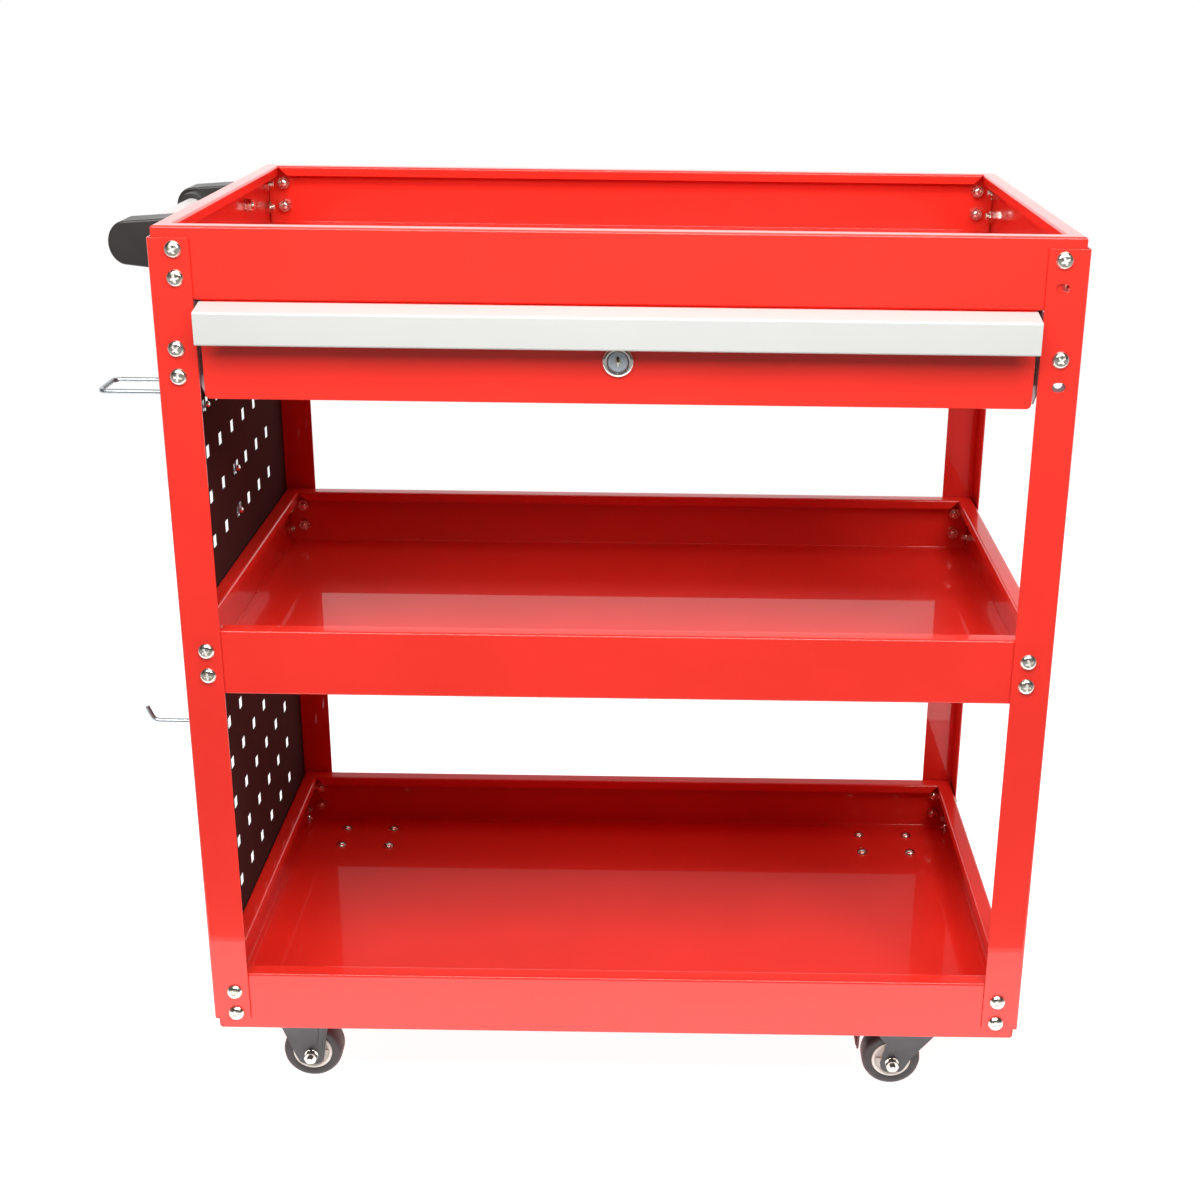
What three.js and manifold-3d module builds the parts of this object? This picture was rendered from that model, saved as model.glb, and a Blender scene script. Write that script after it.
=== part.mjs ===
// Three-tier rolling tool cart with one lockable drawer, a pegboard side and a push handle.
//
// Units are millimetres, +Z is up, and the drawer opens towards -Y. While it is built, the cart stands with
// the middle of its four legs on the Z axis and its wheels on Z = 0. At the end it is moved so that the origin
// is the middle of the whole footprint, on the floor.

import * as THREE from 'three';
import { mergeVertices } from 'three/addons/utils/BufferGeometryUtils.js';
import Module from 'manifold-3d';

const wasm = await Module();
wasm.setup();

// ---------------------------------------------------------------- driving dimensions

const GAP = 0.3;                        // clearance kept between two pieces that touch
const FINENESS = 0.01;                  // edges that move the surface by less than this are merged away

// Legs: four steel angles, outside the trays.
const WIDTH = 666;                      // over the legs, along X
const DEPTH = 360;                      // over the legs, along Y
const LEG_BOTTOM = 80.5;
const LEG_TOP = 728.5;
const LEG_FLANGE = 30;
const LEG_SHEET = 1.2;

// Trays: three equal pans, folded from one blank each.
const TRAY_WIDTH = 660.4;
const TRAY_DEPTH = 356;
const TRAY_HEIGHT = 53;
const TRAY_SHEET = 1;
const TRAY_LEVELS = { bottom: 70, middle: 375.5, top: 683.5 };
const RIM = 13.5;                       // width of the inward rim
const LIP = 8.4;                        // height of the lip that hangs from the rim
const CORNER_SLIT = 0.4;                // the walls and rims of a tray meet without a weld

// Fasteners: M6 screws and nuts in pairs, through the legs and the tray walls.
const SCREW_HOLE_R = 3.3;
const SCREW_FROM_SIDE = 18.5;           // from the outer face of the other flange
const SLIDE_SCREW_FROM_SIDE = 15.1;
const TRAY_SCREW_HEIGHTS = [16.5, 36.9];
const SLIDE_SCREW_LEVELS = [628.1, 648.7];
const HOLE_SIDES = 6;

// Pegboards: two steel sheets between the left legs and the tray walls.
const PEG_SHEET = 1;
const PEG_X = -WIDTH / 2 + LEG_SHEET + GAP;
const PEG_DEPTH = 355;
const PEG_HEIGHT = 302;
const PEG_PITCH = 38;
const PEG_HOLE = 11;
const PEG_ROWS = 6;
const PEG_COLUMNS = 7;
const PEGBOARDS = {
  upper: { bottom: 404.5, firstRow: 464.5 },
  lower: { bottom: 98, firstRow: 150 },
};

// Wire hooks on the pegboards.
const WIRE_R = 2;
const HOOK_PLATE_X = PEG_X - GAP;
const HOOK_PLATE = 1.5;
const HOOK_PLATE_WIDTH = 9;
const LOOP_REACH = 77;
const LOOP_WIDTH = 38;

// Push handle on the left end.
const HANDLE_Z = 712;
const HANDLE_TUBE_X = -367.5;
const HANDLE_TUBE_R = 9.5;
const HANDLE_TUBE_BORE = 8;
const BRACKET_OUTER_X = -385;
const BRACKET_INNER_X = PEG_X - GAP;
const BRACKET_ROOT = [690.5, 731];      // lowest and highest point beside the tray
const BRACKET_NOSE = [695, 728];        // and where the rounded nose begins
const NOSE_LENGTH = 10.5;
const COLLAR_R = 13.5;                  // around the tube, on the bracket's inner side
const COLLAR_FROM_Y = 62;
const BRACKET_FROM_Y = 78;
const BRACKET_TO_Y = 106;
const HANDLE_BOLT_Y = 90;
const SOCKET_DEPTH = 30;

// Drawer: a box on two slides, a pan-shaped front and a folded pull strip.
const FRONT_WIDTH = 599;
const FRONT_Y = -182;
const FRONT_RETURN = 10;
const FRONT_BOTTOM = 612;
const FRONT_TOP = 683.2;
const PULL_WIDTH = 596;
const PULL_DEPTH = 21.7;
const PULL_TOP = 684.4;
const PULL_HEIGHT = 24;                 // of its front face
const PULL_SLOPE = 4.1;                 // fall of its top from back to front
const PULL_LIP = 5;
const PULL_FLANGE = 14;
const BOX_WIDTH = 578;
const BOX_FRONT_Y = -180.5;
const BOX_REAR_Y = 158;
const BOX_BOTTOM = 614.5;
const BOX_TOP = 672.5;
const BOX_REAR_TOP = 664.5;
const SHEET = 1;

// Drawer slides and the channels that carry them.
const CARRIER_X = 302.4;                // inner face of the carrier's web
const CARRIER_BOTTOM = 613;
const CARRIER_TOP = 683;
const CARRIER_CHAMFER = 10;
const SLIDE_Z = 649.5;
const SLIDE_HEIGHT = 45;
const SLIDE_DEPTH = 10.5;
const SLIDE_LIP = 5;
const SLIDE_SHEET = 1.2;
const RUNNER_HEIGHT = 32;
const RUNNER_DEPTH = 9;
const SLIDE_FRONT_Y = -171;
const SLIDE_REAR_Y = 168;

// Cam lock in the middle of the drawer front.
const LOCK_Z = 644;
const LOCK_SIDES = 16;
const BEZEL_R = 11.6;
const BEZEL_DEPTH = 3;
const BARREL_R = 8.7;
const BARREL_REAR_Y = -160;
const PLUG_R = 7.5;
const PLUG_BORE_R = 7.8;
const CAM_LENGTH = 34;

// Casters: rigid ones at the handle end, swivel ones with a brake at the other end.
const CASTER_X = 261.5;
const CASTER_Y = 137.5;
const CASTER_BOLTS_X = 47.5;
const CASTER_BOLTS_Y = 34;
const PLATE_LENGTH = 62;
const PLATE_WIDTH = 48;
const PLATE_THICKNESS = 2.2;
const PLATE_TOP = TRAY_LEVELS.bottom - GAP;
const TRAIL = 26;                       // from the swivel axis back to the axle
const WHEEL_R = 25;
const WHEEL_SIDES = 24;
const TREAD_WIDTH = 20;
const HUB_R = 16.7;
const HUB_SIDES = 16;
const AXLE_R = 3.9;
const AXLE_SIDES = 10;
const BLADE_INNER_Y = 12.2;
const BLADE_THICKNESS = 2;
const CROWN_TOP = 63.1;
const CROWN_THICKNESS = 2.2;
const CROWN_R = 20;
const KINGPIN_R = 4.6;
const PEDAL_PIVOT = [31, 57];           // distance behind the swivel axis, height

// ---------------------------------------------------------------- materials

const paint = { roughness: 0.25, metalness: 0.1 };
const MATERIALS = {
  redPaint: new THREE.MeshStandardMaterial({ color: 0xd9261c, ...paint }),
  whitePaint: new THREE.MeshStandardMaterial({ color: 0xe8e8e2, roughness: 0.4, metalness: 0.1 }),
  blackPaint: new THREE.MeshStandardMaterial({ color: 0x1c1a1a, roughness: 0.5, metalness: 0.1 }),
  blackPlastic: new THREE.MeshStandardMaterial({ color: 0x2b2a28, roughness: 0.5, metalness: 0 }),
  greyTube: new THREE.MeshStandardMaterial({ color: 0xe6e8e8, roughness: 0.35, metalness: 0.3 }),
  zinc: new THREE.MeshStandardMaterial({ color: 0xb9bcc0, roughness: 0.3, metalness: 0.9 }),
  chrome: new THREE.MeshStandardMaterial({ color: 0xdadada, roughness: 0.12, metalness: 1 }),
  forkPaint: new THREE.MeshStandardMaterial({ color: 0x55565a, roughness: 0.45, metalness: 0.3 }),
  cream: new THREE.MeshStandardMaterial({ color: 0xe9e3d6, roughness: 0.5, metalness: 0 }),
  rubber: new THREE.MeshStandardMaterial({ color: 0x242222, roughness: 0.7, metalness: 0 }),
};

// ---------------------------------------------------------------- solids

// A closed three.js geometry as a solid that can be cut and joined.
function toSolid(geometry) {
  const bare = geometry.clone();
  bare.deleteAttribute('normal');
  bare.deleteAttribute('uv');
  const merged = mergeVertices(bare, 1e-4);
  const vertProperties = new Float32Array(merged.attributes.position.array);
  const triVerts = new Uint32Array(merged.index.array);
  return new wasm.Manifold(new wasm.Mesh({ numProp: 3, vertProperties, triVerts }));
}

function toGeometry(solid) {
  const { vertProperties, triVerts } = solid.getMesh();
  const geometry = new THREE.BufferGeometry();
  geometry.setAttribute('position', new THREE.BufferAttribute(vertProperties, 3));
  geometry.setIndex(new THREE.BufferAttribute(triVerts, 1));
  return geometry;
}

function join(...geometries) {
  return toGeometry(geometries.map(toSolid).reduce((whole, piece) => whole.add(piece)).simplify(FINENESS));
}

function cut(geometry, ...tools) {
  return toGeometry(tools.map(toSolid).reduce((rest, tool) => rest.subtract(tool), toSolid(geometry)));
}

function box(x, y, z) {
  const geometry = new THREE.BoxGeometry(x[1] - x[0], y[1] - y[0], z[1] - z[0]);
  return geometry.translate((x[0] + x[1]) / 2, (y[0] + y[1]) / 2, (z[0] + z[1]) / 2);
}

// An outline swept in a straight line. Its points are (y, z) along x, (x, z) along y, and (x, y) along z.
function prism(outline, axis, from, to) {
  const shape = new THREE.Shape(outline.map(([a, b]) => new THREE.Vector2(a, b)));
  const geometry = new THREE.ExtrudeGeometry(shape, { depth: to - from, bevelEnabled: false });
  const [x, y, z] = [0, 1, 2].map((i) => new THREE.Vector3().setComponent(i, 1));
  if (axis === 'x') {
    geometry.applyMatrix4(new THREE.Matrix4().makeBasis(y, z, x)).translate(from, 0, 0);
  } else if (axis === 'y') {
    geometry.applyMatrix4(new THREE.Matrix4().makeBasis(x, z, y.clone().negate())).translate(0, to, 0);
  } else {
    geometry.translate(0, 0, from);
  }
  return geometry;
}

// Turns a geometry whose own axis is +Y so that the axis is x, y or z, then puts it at a point.
function aim(geometry, axis, at) {
  if (axis === 'x') geometry.rotateZ(-Math.PI / 2);
  if (axis === 'z') geometry.rotateX(Math.PI / 2);
  return geometry.translate(...at);
}

// A round bar between two values along an axis; at holds its other two coordinates, in X, Y, Z order.
function rod(axis, radius, from, to, at, sides) {
  const index = 'xyz'.indexOf(axis);
  const centre = [...at];
  centre.splice(index, 0, (from + to) / 2);
  const geometry = new THREE.CylinderGeometry(radius, radius, to - from, sides);
  geometry.rotateY(Math.PI / sides);
  return aim(geometry, axis, centre);
}

// A ring or disc turned around the Y axis. The profile holds (radius, y) and is closed on itself or the axis.
function turned(profile, sides) {
  const ends = profile[0][0] === 0 ? profile : [...profile, profile[0]];
  const points = ends.map(([r, y]) => new THREE.Vector2(r, y));
  return new THREE.LatheGeometry(points, sides, Math.PI / sides);
}

// A round wire along straight stretches that are joined by rounded bends.
function wire(points, bend, radius = WIRE_R, sides = 6) {
  const corners = points.map((p) => new THREE.Vector3(...p));
  const path = new THREE.CurvePath();
  let start = corners[0];
  for (let i = 1; i < corners.length - 1; i += 1) {
    const before = corners[i].clone().add(corners[i - 1].clone().sub(corners[i]).setLength(bend));
    const after = corners[i].clone().add(corners[i + 1].clone().sub(corners[i]).setLength(bend));
    path.add(new THREE.LineCurve3(start, before));
    path.add(new THREE.QuadraticBezierCurve3(before, corners[i], after));
    start = after;
  }
  path.add(new THREE.LineCurve3(start, corners.at(-1)));
  const steps = Math.max(2, Math.round(path.getLength() / (bend * 0.75)));
  const shape = new THREE.Shape();
  for (let i = 0; i < sides; i += 1) {
    const angle = (2 * Math.PI * (i + 0.5)) / sides;
    const point = [radius * Math.cos(angle), radius * Math.sin(angle)];
    if (i === 0) shape.moveTo(...point);
    else shape.lineTo(...point);
  }
  shape.closePath();
  return new THREE.ExtrudeGeometry(shape, { steps, extrudePath: path, bevelEnabled: false });
}

// ---------------------------------------------------------------- the cart as a scene graph

const cart = new THREE.Group();

function add(name, geometry, material, parent = cart) {
  const mesh = new THREE.Mesh(geometry, material);
  mesh.name = name;
  parent.add(mesh);
  return mesh;
}

const SIDES = { left: -1, right: 1 };
const ENDS = { front: -1, rear: 1 };

// ---------------------------------------------------------------- legs

const screwLevels = Object.values(TRAY_LEVELS).flatMap((z) => TRAY_SCREW_HEIGHTS.map((h) => z + h));

function screwHole(axis, from, to, at) {
  return rod(axis, SCREW_HOLE_R, from, to, at, HOLE_SIDES);
}

function leg(side, end) {
  const corner = [[0, 0], [LEG_FLANGE, 0], [LEG_FLANGE, LEG_SHEET], [LEG_SHEET, LEG_SHEET],
    [LEG_SHEET, LEG_FLANGE], [0, LEG_FLANGE]];
  const outline = corner.map(([a, b]) => [side * (WIDTH / 2 - a), end * (DEPTH / 2 - b)]);
  const screwY = end * (DEPTH / 2 - SCREW_FROM_SIDE);
  const reach = LEG_SHEET * 2;
  const holes = [];
  const frontHole = (z, fromSide) => (
    screwHole('y', end * DEPTH / 2 - reach, end * DEPTH / 2 + reach, [side * (WIDTH / 2 - fromSide), z]));
  for (const z of screwLevels) {
    holes.push(frontHole(z, SCREW_FROM_SIDE));
    holes.push(screwHole('x', side * WIDTH / 2 - reach, side * WIDTH / 2 + reach, [screwY, z]));
  }
  for (const z of SLIDE_SCREW_LEVELS) {
    holes.push(frontHole(z, SLIDE_SCREW_FROM_SIDE));
  }
  return cut(prism(outline, 'z', LEG_BOTTOM, LEG_TOP), ...holes);
}

for (const [sideName, side] of Object.entries(SIDES)) {
  for (const [endName, end] of Object.entries(ENDS)) {
    add(`leg_${endName}_${sideName}`, leg(side, end), MATERIALS.redPaint);
  }
}

// ---------------------------------------------------------------- trays

// One wall with its rim and lip, along X, its outer face on Y = 0. The rim is mitred at both ends, and the
// lip is cut back further the lower it hangs.
function trayWall(length) {
  const inner = RIM - TRAY_SHEET;
  const outline = [[0, 0], [0, TRAY_HEIGHT], [RIM, TRAY_HEIGHT], [RIM, TRAY_HEIGHT - LIP],
    [inner, TRAY_HEIGHT - LIP], [inner, TRAY_HEIGHT - TRAY_SHEET],
    [TRAY_SHEET, TRAY_HEIGHT - TRAY_SHEET], [TRAY_SHEET, 0]];
  const geometry = prism(outline, 'x', -1, 1);
  const position = geometry.attributes.position;
  for (let i = 0; i < position.count; i += 1) {
    const inward = position.getY(i);
    const drop = inward > TRAY_SHEET ? TRAY_HEIGHT - position.getZ(i) : 0;
    const half = length / 2 - CORNER_SLIT - inward - drop;
    position.setX(i, Math.sign(position.getX(i)) * half);
  }
  return geometry;
}

function tray(level, ...holes) {
  const walls = [];
  for (let quarter = 0; quarter < 4; quarter += 1) {
    const along = quarter % 2 === 0 ? TRAY_WIDTH : TRAY_DEPTH;
    const across = quarter % 2 === 0 ? TRAY_DEPTH : TRAY_WIDTH;
    walls.push(trayWall(along).translate(0, -across / 2, 0).rotateZ((quarter * Math.PI) / 2));
  }
  const floor = box([-TRAY_WIDTH / 2, TRAY_WIDTH / 2], [-TRAY_DEPTH / 2, TRAY_DEPTH / 2], [0, TRAY_SHEET]);
  const pan = join(floor, ...walls).translate(0, 0, level);
  const screwX = WIDTH / 2 - SCREW_FROM_SIDE;
  const screwY = DEPTH / 2 - SCREW_FROM_SIDE;
  for (const height of TRAY_SCREW_HEIGHTS) {
    for (const sign of [-1, 1]) {
      holes.push(screwHole('y', -DEPTH / 2, -DEPTH / 2 + 5, [sign * screwX, level + height]));
      holes.push(screwHole('y', DEPTH / 2 - 5, DEPTH / 2, [sign * screwX, level + height]));
      holes.push(screwHole('x', -WIDTH / 2, -WIDTH / 2 + 6, [sign * screwY, level + height]));
      holes.push(screwHole('x', WIDTH / 2 - 6, WIDTH / 2, [sign * screwY, level + height]));
    }
  }
  return cut(pan, ...holes);
}

function casterBoltHoles(centreX, centreY, from, to) {
  const holes = [];
  for (const sx of [-1, 1]) {
    for (const sy of [-1, 1]) {
      const at = [centreX + (sx * CASTER_BOLTS_X) / 2, centreY + (sy * CASTER_BOLTS_Y) / 2];
      holes.push(rod('z', SCREW_HOLE_R, from, to, at, HOLE_SIDES));
    }
  }
  return holes;
}

const trayCasterHoles = [];
for (const side of Object.values(SIDES)) {
  for (const end of Object.values(ENDS)) {
    const floor = TRAY_LEVELS.bottom;
    trayCasterHoles.push(...casterBoltHoles(side * CASTER_X, end * CASTER_Y, floor - 1, floor + 3));
  }
}
const handleHoles = Object.values(ENDS).map((end) => (
  screwHole('x', -WIDTH / 2, -WIDTH / 2 + 6, [end * HANDLE_BOLT_Y, HANDLE_Z])));

add('bottom_tray', tray(TRAY_LEVELS.bottom, ...trayCasterHoles), MATERIALS.redPaint);
add('middle_tray', tray(TRAY_LEVELS.middle), MATERIALS.redPaint);
add('top_tray', tray(TRAY_LEVELS.top, ...handleHoles), MATERIALS.redPaint);

// ---------------------------------------------------------------- pegboards and hooks

function pegboard({ bottom, firstRow }) {
  const top = bottom + PEG_HEIGHT;
  const half = PEG_DEPTH / 2;
  const sheet = [PEG_X, PEG_X + PEG_SHEET];
  const through = [PEG_X - 1, PEG_X + PEG_SHEET + 1];
  const reach = PEG_HOLE / 2;
  const holes = [];
  for (let row = 0; row < PEG_ROWS; row += 1) {
    for (let column = 0; column < PEG_COLUMNS; column += 1) {
      const y = (column - (PEG_COLUMNS - 1) / 2) * PEG_PITCH;
      const z = firstRow + row * PEG_PITCH;
      holes.push(box(through, [y - reach, y + reach], [z - reach, z + reach]));
    }
  }
  for (const z of screwLevels.filter((level) => level > bottom && level < top)) {
    for (const sign of [-1, 1]) {
      holes.push(screwHole('x', ...through, [sign * (DEPTH / 2 - SCREW_FROM_SIDE), z]));
    }
  }
  return cut(box(sheet, [-half, half], [bottom, top]), ...holes);
}

for (const [name, board] of Object.entries(PEGBOARDS)) {
  add(`pegboard_${name}`, pegboard(board), MATERIALS.blackPaint);
}

// A strip outside the pegboard with two tabs that go through the holes and turn up behind them.
function hookPlate(column, row, board) {
  const y = column * PEG_PITCH;
  const lower = board.firstRow + row * PEG_PITCH;
  const half = HOOK_PLATE_WIDTH / 2;
  const plateX = [HOOK_PLATE_X - HOOK_PLATE, HOOK_PLATE_X];
  const pieces = [box(plateX, [y - half, y + half], [lower - 8, lower + PEG_PITCH + 6])];
  for (const z of [lower, lower + PEG_PITCH]) {
    const inner = PEG_X + PEG_SHEET + GAP;
    pieces.push(box([plateX[0], inner + HOOK_PLATE], [y - 3, y + 3], [z - 2, z]));
    pieces.push(box([inner, inner + HOOK_PLATE], [y - 3, y + 3], [z - 2, z + 8]));
  }
  return join(...pieces);
}

function singleHook(column, row, board, reach) {
  const y = column * PEG_PITCH;
  const z = board.firstRow + (row + 0.5) * PEG_PITCH;
  const x = HOOK_PLATE_X - HOOK_PLATE / 2;
  const tip = HOOK_PLATE_X - reach;
  const rod1 = wire([[x, y, z], [tip + 6, y, z], [tip, y, z + 13]], 5);
  return join(hookPlate(column, row, board), rod1);
}

function loopHook(column, row, board) {
  const y = column * PEG_PITCH;
  const z = board.firstRow + (row + 0.5) * PEG_PITCH - 3.5;
  const x = HOOK_PLATE_X - HOOK_PLATE - WIRE_R + 0.8;
  const tip = HOOK_PLATE_X - LOOP_REACH + WIRE_R;
  const half = LOOP_WIDTH / 2;
  const end = 1;
  const frame = wire([[x, y - end, z], [x, y - half, z], [tip, y - half, z], [tip, y + half, z],
    [x, y + half, z], [x, y + end, z]], 5);
  return join(hookPlate(column, row, board), frame);
}

add('hook_loop', loopHook(-2, 3, PEGBOARDS.upper), MATERIALS.zinc);
add('hook_short', singleHook(0, 0, PEGBOARDS.upper, 34), MATERIALS.zinc);
add('hook_long', singleHook(-3, 4, PEGBOARDS.lower, 56), MATERIALS.zinc);

// ---------------------------------------------------------------- push handle

function handleBracket(end) {
  const [rootLow, rootHigh] = BRACKET_ROOT;
  const [noseLow, noseHigh] = BRACKET_NOSE;
  const middle = (noseLow + noseHigh) / 2;
  const half = (noseHigh - noseLow) / 2;
  const outline = [[BRACKET_INNER_X, rootLow], [BRACKET_INNER_X, rootHigh]];
  const steps = 10;
  for (let i = 0; i <= steps; i += 1) {
    const angle = (Math.PI * i) / steps;
    const x = BRACKET_OUTER_X + NOSE_LENGTH * (1 - Math.sin(angle));
    outline.push([x, middle + half * Math.cos(angle)]);
  }
  const along = (from, to) => [Math.min(end * from, end * to), Math.max(end * from, end * to)];
  const at = [HANDLE_TUBE_X, HANDLE_Z];
  const body = prism(outline, 'y', ...along(BRACKET_FROM_Y, BRACKET_TO_Y));
  const collar = rod('y', COLLAR_R, ...along(COLLAR_FROM_Y, BRACKET_FROM_Y + 1), at, 20);
  const socketSpan = along(COLLAR_FROM_Y - 1, COLLAR_FROM_Y + SOCKET_DEPTH);
  const socket = rod('y', HANDLE_TUBE_R + GAP, ...socketSpan, at, 16);
  const bolt = screwHole('x', BRACKET_INNER_X - 14, BRACKET_INNER_X + 1, [end * HANDLE_BOLT_Y, HANDLE_Z]);
  return cut(join(body, collar), socket, bolt);
}

// A bolt that is held in the bracket and closed by a nut inside the top tray.
function handleBolt(end) {
  const at = [end * HANDLE_BOLT_Y, HANDLE_Z];
  const wall = -TRAY_WIDTH / 2 + TRAY_SHEET;
  const shank = rod('x', SCREW_HOLE_R - GAP, BRACKET_INNER_X - 13, wall + 8, at, HOLE_SIDES);
  const nut = rod('x', 5.6, wall + GAP, wall + GAP + 5, at, 6);
  return join(shank, nut);
}

for (const [endName, end] of Object.entries(ENDS)) {
  add(`handle_bracket_${endName}`, handleBracket(end), MATERIALS.blackPlastic);
  add(`handle_bolt_${endName}`, handleBolt(end), MATERIALS.zinc);
}
const tubeEnd = COLLAR_FROM_Y + SOCKET_DEPTH - 2;
const tubeAt = [HANDLE_TUBE_X, HANDLE_Z];
add('handle_tube', cut(rod('y', HANDLE_TUBE_R, -tubeEnd, tubeEnd, tubeAt, 16),
  rod('y', HANDLE_TUBE_BORE, -tubeEnd - 1, tubeEnd + 1, tubeAt, 16)), MATERIALS.greyTube);

// ---------------------------------------------------------------- drawer

function drawerFront() {
  const half = FRONT_WIDTH / 2;
  const rear = FRONT_Y + FRONT_RETURN;
  const outer = box([-half, half], [FRONT_Y, rear], [FRONT_BOTTOM, FRONT_TOP]);
  const hollow = box([-half + SHEET, half - SHEET], [FRONT_Y + SHEET, rear + 1],
    [FRONT_BOTTOM + SHEET, FRONT_TOP - SHEET]);
  const lockHole = rod('y', BARREL_R + GAP, FRONT_Y - 1, rear, [0, LOCK_Z], LOCK_SIDES);
  return cut(outer, hollow, lockHole);
}

function drawerBox() {
  const half = BOX_WIDTH / 2;
  const outer = box([-half, half], [BOX_FRONT_Y, BOX_REAR_Y], [BOX_BOTTOM, BOX_TOP]);
  const hollow = box([-half + SHEET, half - SHEET], [BOX_FRONT_Y + SHEET, BOX_REAR_Y - SHEET],
    [BOX_BOTTOM + SHEET, BOX_TOP + 1]);
  const rearNotch = box([-half + SHEET, half - SHEET], [BOX_REAR_Y - 2 * SHEET, BOX_REAR_Y + 1],
    [BOX_REAR_TOP, BOX_TOP + 1]);
  const lockHole = rod('y', BARREL_R + GAP, BOX_FRONT_Y - 1, BOX_FRONT_Y + 3, [0, LOCK_Z], LOCK_SIDES);
  return cut(outer, hollow, rearNotch, lockHole);
}

function pullStrip() {
  const back = FRONT_Y - GAP;
  const front = back - PULL_DEPTH;
  const top = PULL_TOP;
  const nose = top - PULL_SLOPE;
  const bottom = nose - PULL_HEIGHT;
  const outline = [[back, top - PULL_FLANGE], [back, top], [front, nose], [front, bottom],
    [front + PULL_LIP, bottom], [front + PULL_LIP, bottom + SHEET], [front + SHEET, bottom + SHEET],
    [front + SHEET, nose - SHEET], [back - SHEET, top - SHEET], [back - SHEET, top - PULL_FLANGE]];
  return prism(outline, 'x', -PULL_WIDTH / 2, PULL_WIDTH / 2);
}

add('drawer_box', drawerBox(), MATERIALS.redPaint);
add('drawer_front', drawerFront(), MATERIALS.redPaint);
add('drawer_pull', pullStrip(), MATERIALS.whitePaint);

// ---------------------------------------------------------------- drawer slides

// A channel behind the legs: its web carries the slide, and its two tabs are screwed to the legs.
function slideCarrier(side) {
  const web = CARRIER_X + SHEET;
  const tabEnd = TRAY_WIDTH / 2 - GAP;
  const inner = DEPTH / 2 - LEG_SHEET - GAP;
  const channel = [[CARRIER_X, -inner], [tabEnd, -inner], [tabEnd, -inner + SHEET], [web, -inner + SHEET],
    [web, inner - SHEET], [tabEnd, inner - SHEET], [tabEnd, inner], [CARRIER_X, inner]];
  const outline = channel.map(([x, y]) => [side * x, y]);
  const chamfers = [-1, 1].map((sign) => {
    const edge = sign * (inner + 1);
    const back = sign * (inner - CARRIER_CHAMFER);
    const triangle = [[edge, CARRIER_BOTTOM - 1], [edge, CARRIER_BOTTOM + CARRIER_CHAMFER],
      [back, CARRIER_BOTTOM - 1]];
    const [from, to] = side < 0 ? [-web - 1, -CARRIER_X + 1] : [CARRIER_X - 1, web + 1];
    return prism(triangle, 'x', from, to);
  });
  const screwX = side * (WIDTH / 2 - SLIDE_SCREW_FROM_SIDE);
  const holes = SLIDE_SCREW_LEVELS.flatMap((z) => [-inner, inner].map((y) => (
    screwHole('y', y - 3, y + 3, [screwX, z]))));
  return cut(prism(outline, 'z', CARRIER_BOTTOM, CARRIER_TOP), ...chamfers, ...holes);
}

// A channel profile, open towards the middle of the cart: distance from the carrier, height from its middle.
function channelOutline(near, far, height, lip) {
  const half = height / 2;
  const inner = half - SLIDE_SHEET;
  const outline = [[far, half], [near, half], [near, -half], [far, -half]];
  if (lip > 0) {
    outline.push([far, -half + lip], [far - SLIDE_SHEET, -half + lip], [far - SLIDE_SHEET, -inner]);
  } else {
    outline.push([far, -inner]);
  }
  outline.push([near + SLIDE_SHEET, -inner], [near + SLIDE_SHEET, inner]);
  if (lip > 0) {
    outline.push([far - SLIDE_SHEET, inner], [far - SLIDE_SHEET, half - lip], [far, half - lip]);
  } else {
    outline.push([far, inner]);
  }
  return outline;
}

function slidePiece(side, outline) {
  const placed = outline.map(([u, w]) => [side * (CARRIER_X - u), SLIDE_Z + w]);
  return prism(placed, 'y', SLIDE_FRONT_Y, SLIDE_REAR_Y);
}

// The fixed channel opens inwards. The runner is a narrower channel that opens outwards inside it, with its
// web against the drawer box.
const fixedOutline = channelOutline(GAP, GAP + SLIDE_DEPTH, SLIDE_HEIGHT, SLIDE_LIP);
const runnerWeb = CARRIER_X - BOX_WIDTH / 2 - GAP;
const runnerOutline = channelOutline(0, RUNNER_DEPTH, RUNNER_HEIGHT, 0).map(([u, w]) => [runnerWeb - u, w]);

for (const [sideName, side] of Object.entries(SIDES)) {
  add(`slide_carrier_${sideName}`, slideCarrier(side), MATERIALS.zinc);
  add(`slide_channel_${sideName}`, slidePiece(side, fixedOutline), MATERIALS.zinc);
  add(`slide_runner_${sideName}`, slidePiece(side, runnerOutline), MATERIALS.zinc);
}

// ---------------------------------------------------------------- cam lock

function lockBody() {
  const face = FRONT_Y - GAP - BEZEL_DEPTH;
  const seat = FRONT_Y - GAP;
  const profile = [[PLUG_BORE_R, face + 0.8], [PLUG_BORE_R + 0.8, face], [BEZEL_R - 2, face],
    [BEZEL_R, face + 2], [BEZEL_R, seat], [BARREL_R, seat], [BARREL_R, BARREL_REAR_Y],
    [PLUG_BORE_R, BARREL_REAR_Y]];
  return turned(profile, LOCK_SIDES).translate(0, 0, LOCK_Z);
}

function lockNut() {
  const front = BOX_FRONT_Y + SHEET + GAP;
  const at = [0, LOCK_Z];
  const nut = rod('y', 13, front, front + 3, at, 6);
  return cut(nut, rod('y', BARREL_R + GAP, front - 1, front + 4, at, LOCK_SIDES));
}

const CAM_FRONT_Y = BARREL_REAR_Y + GAP + 1;
const CAM_THICKNESS = 2;

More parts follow.
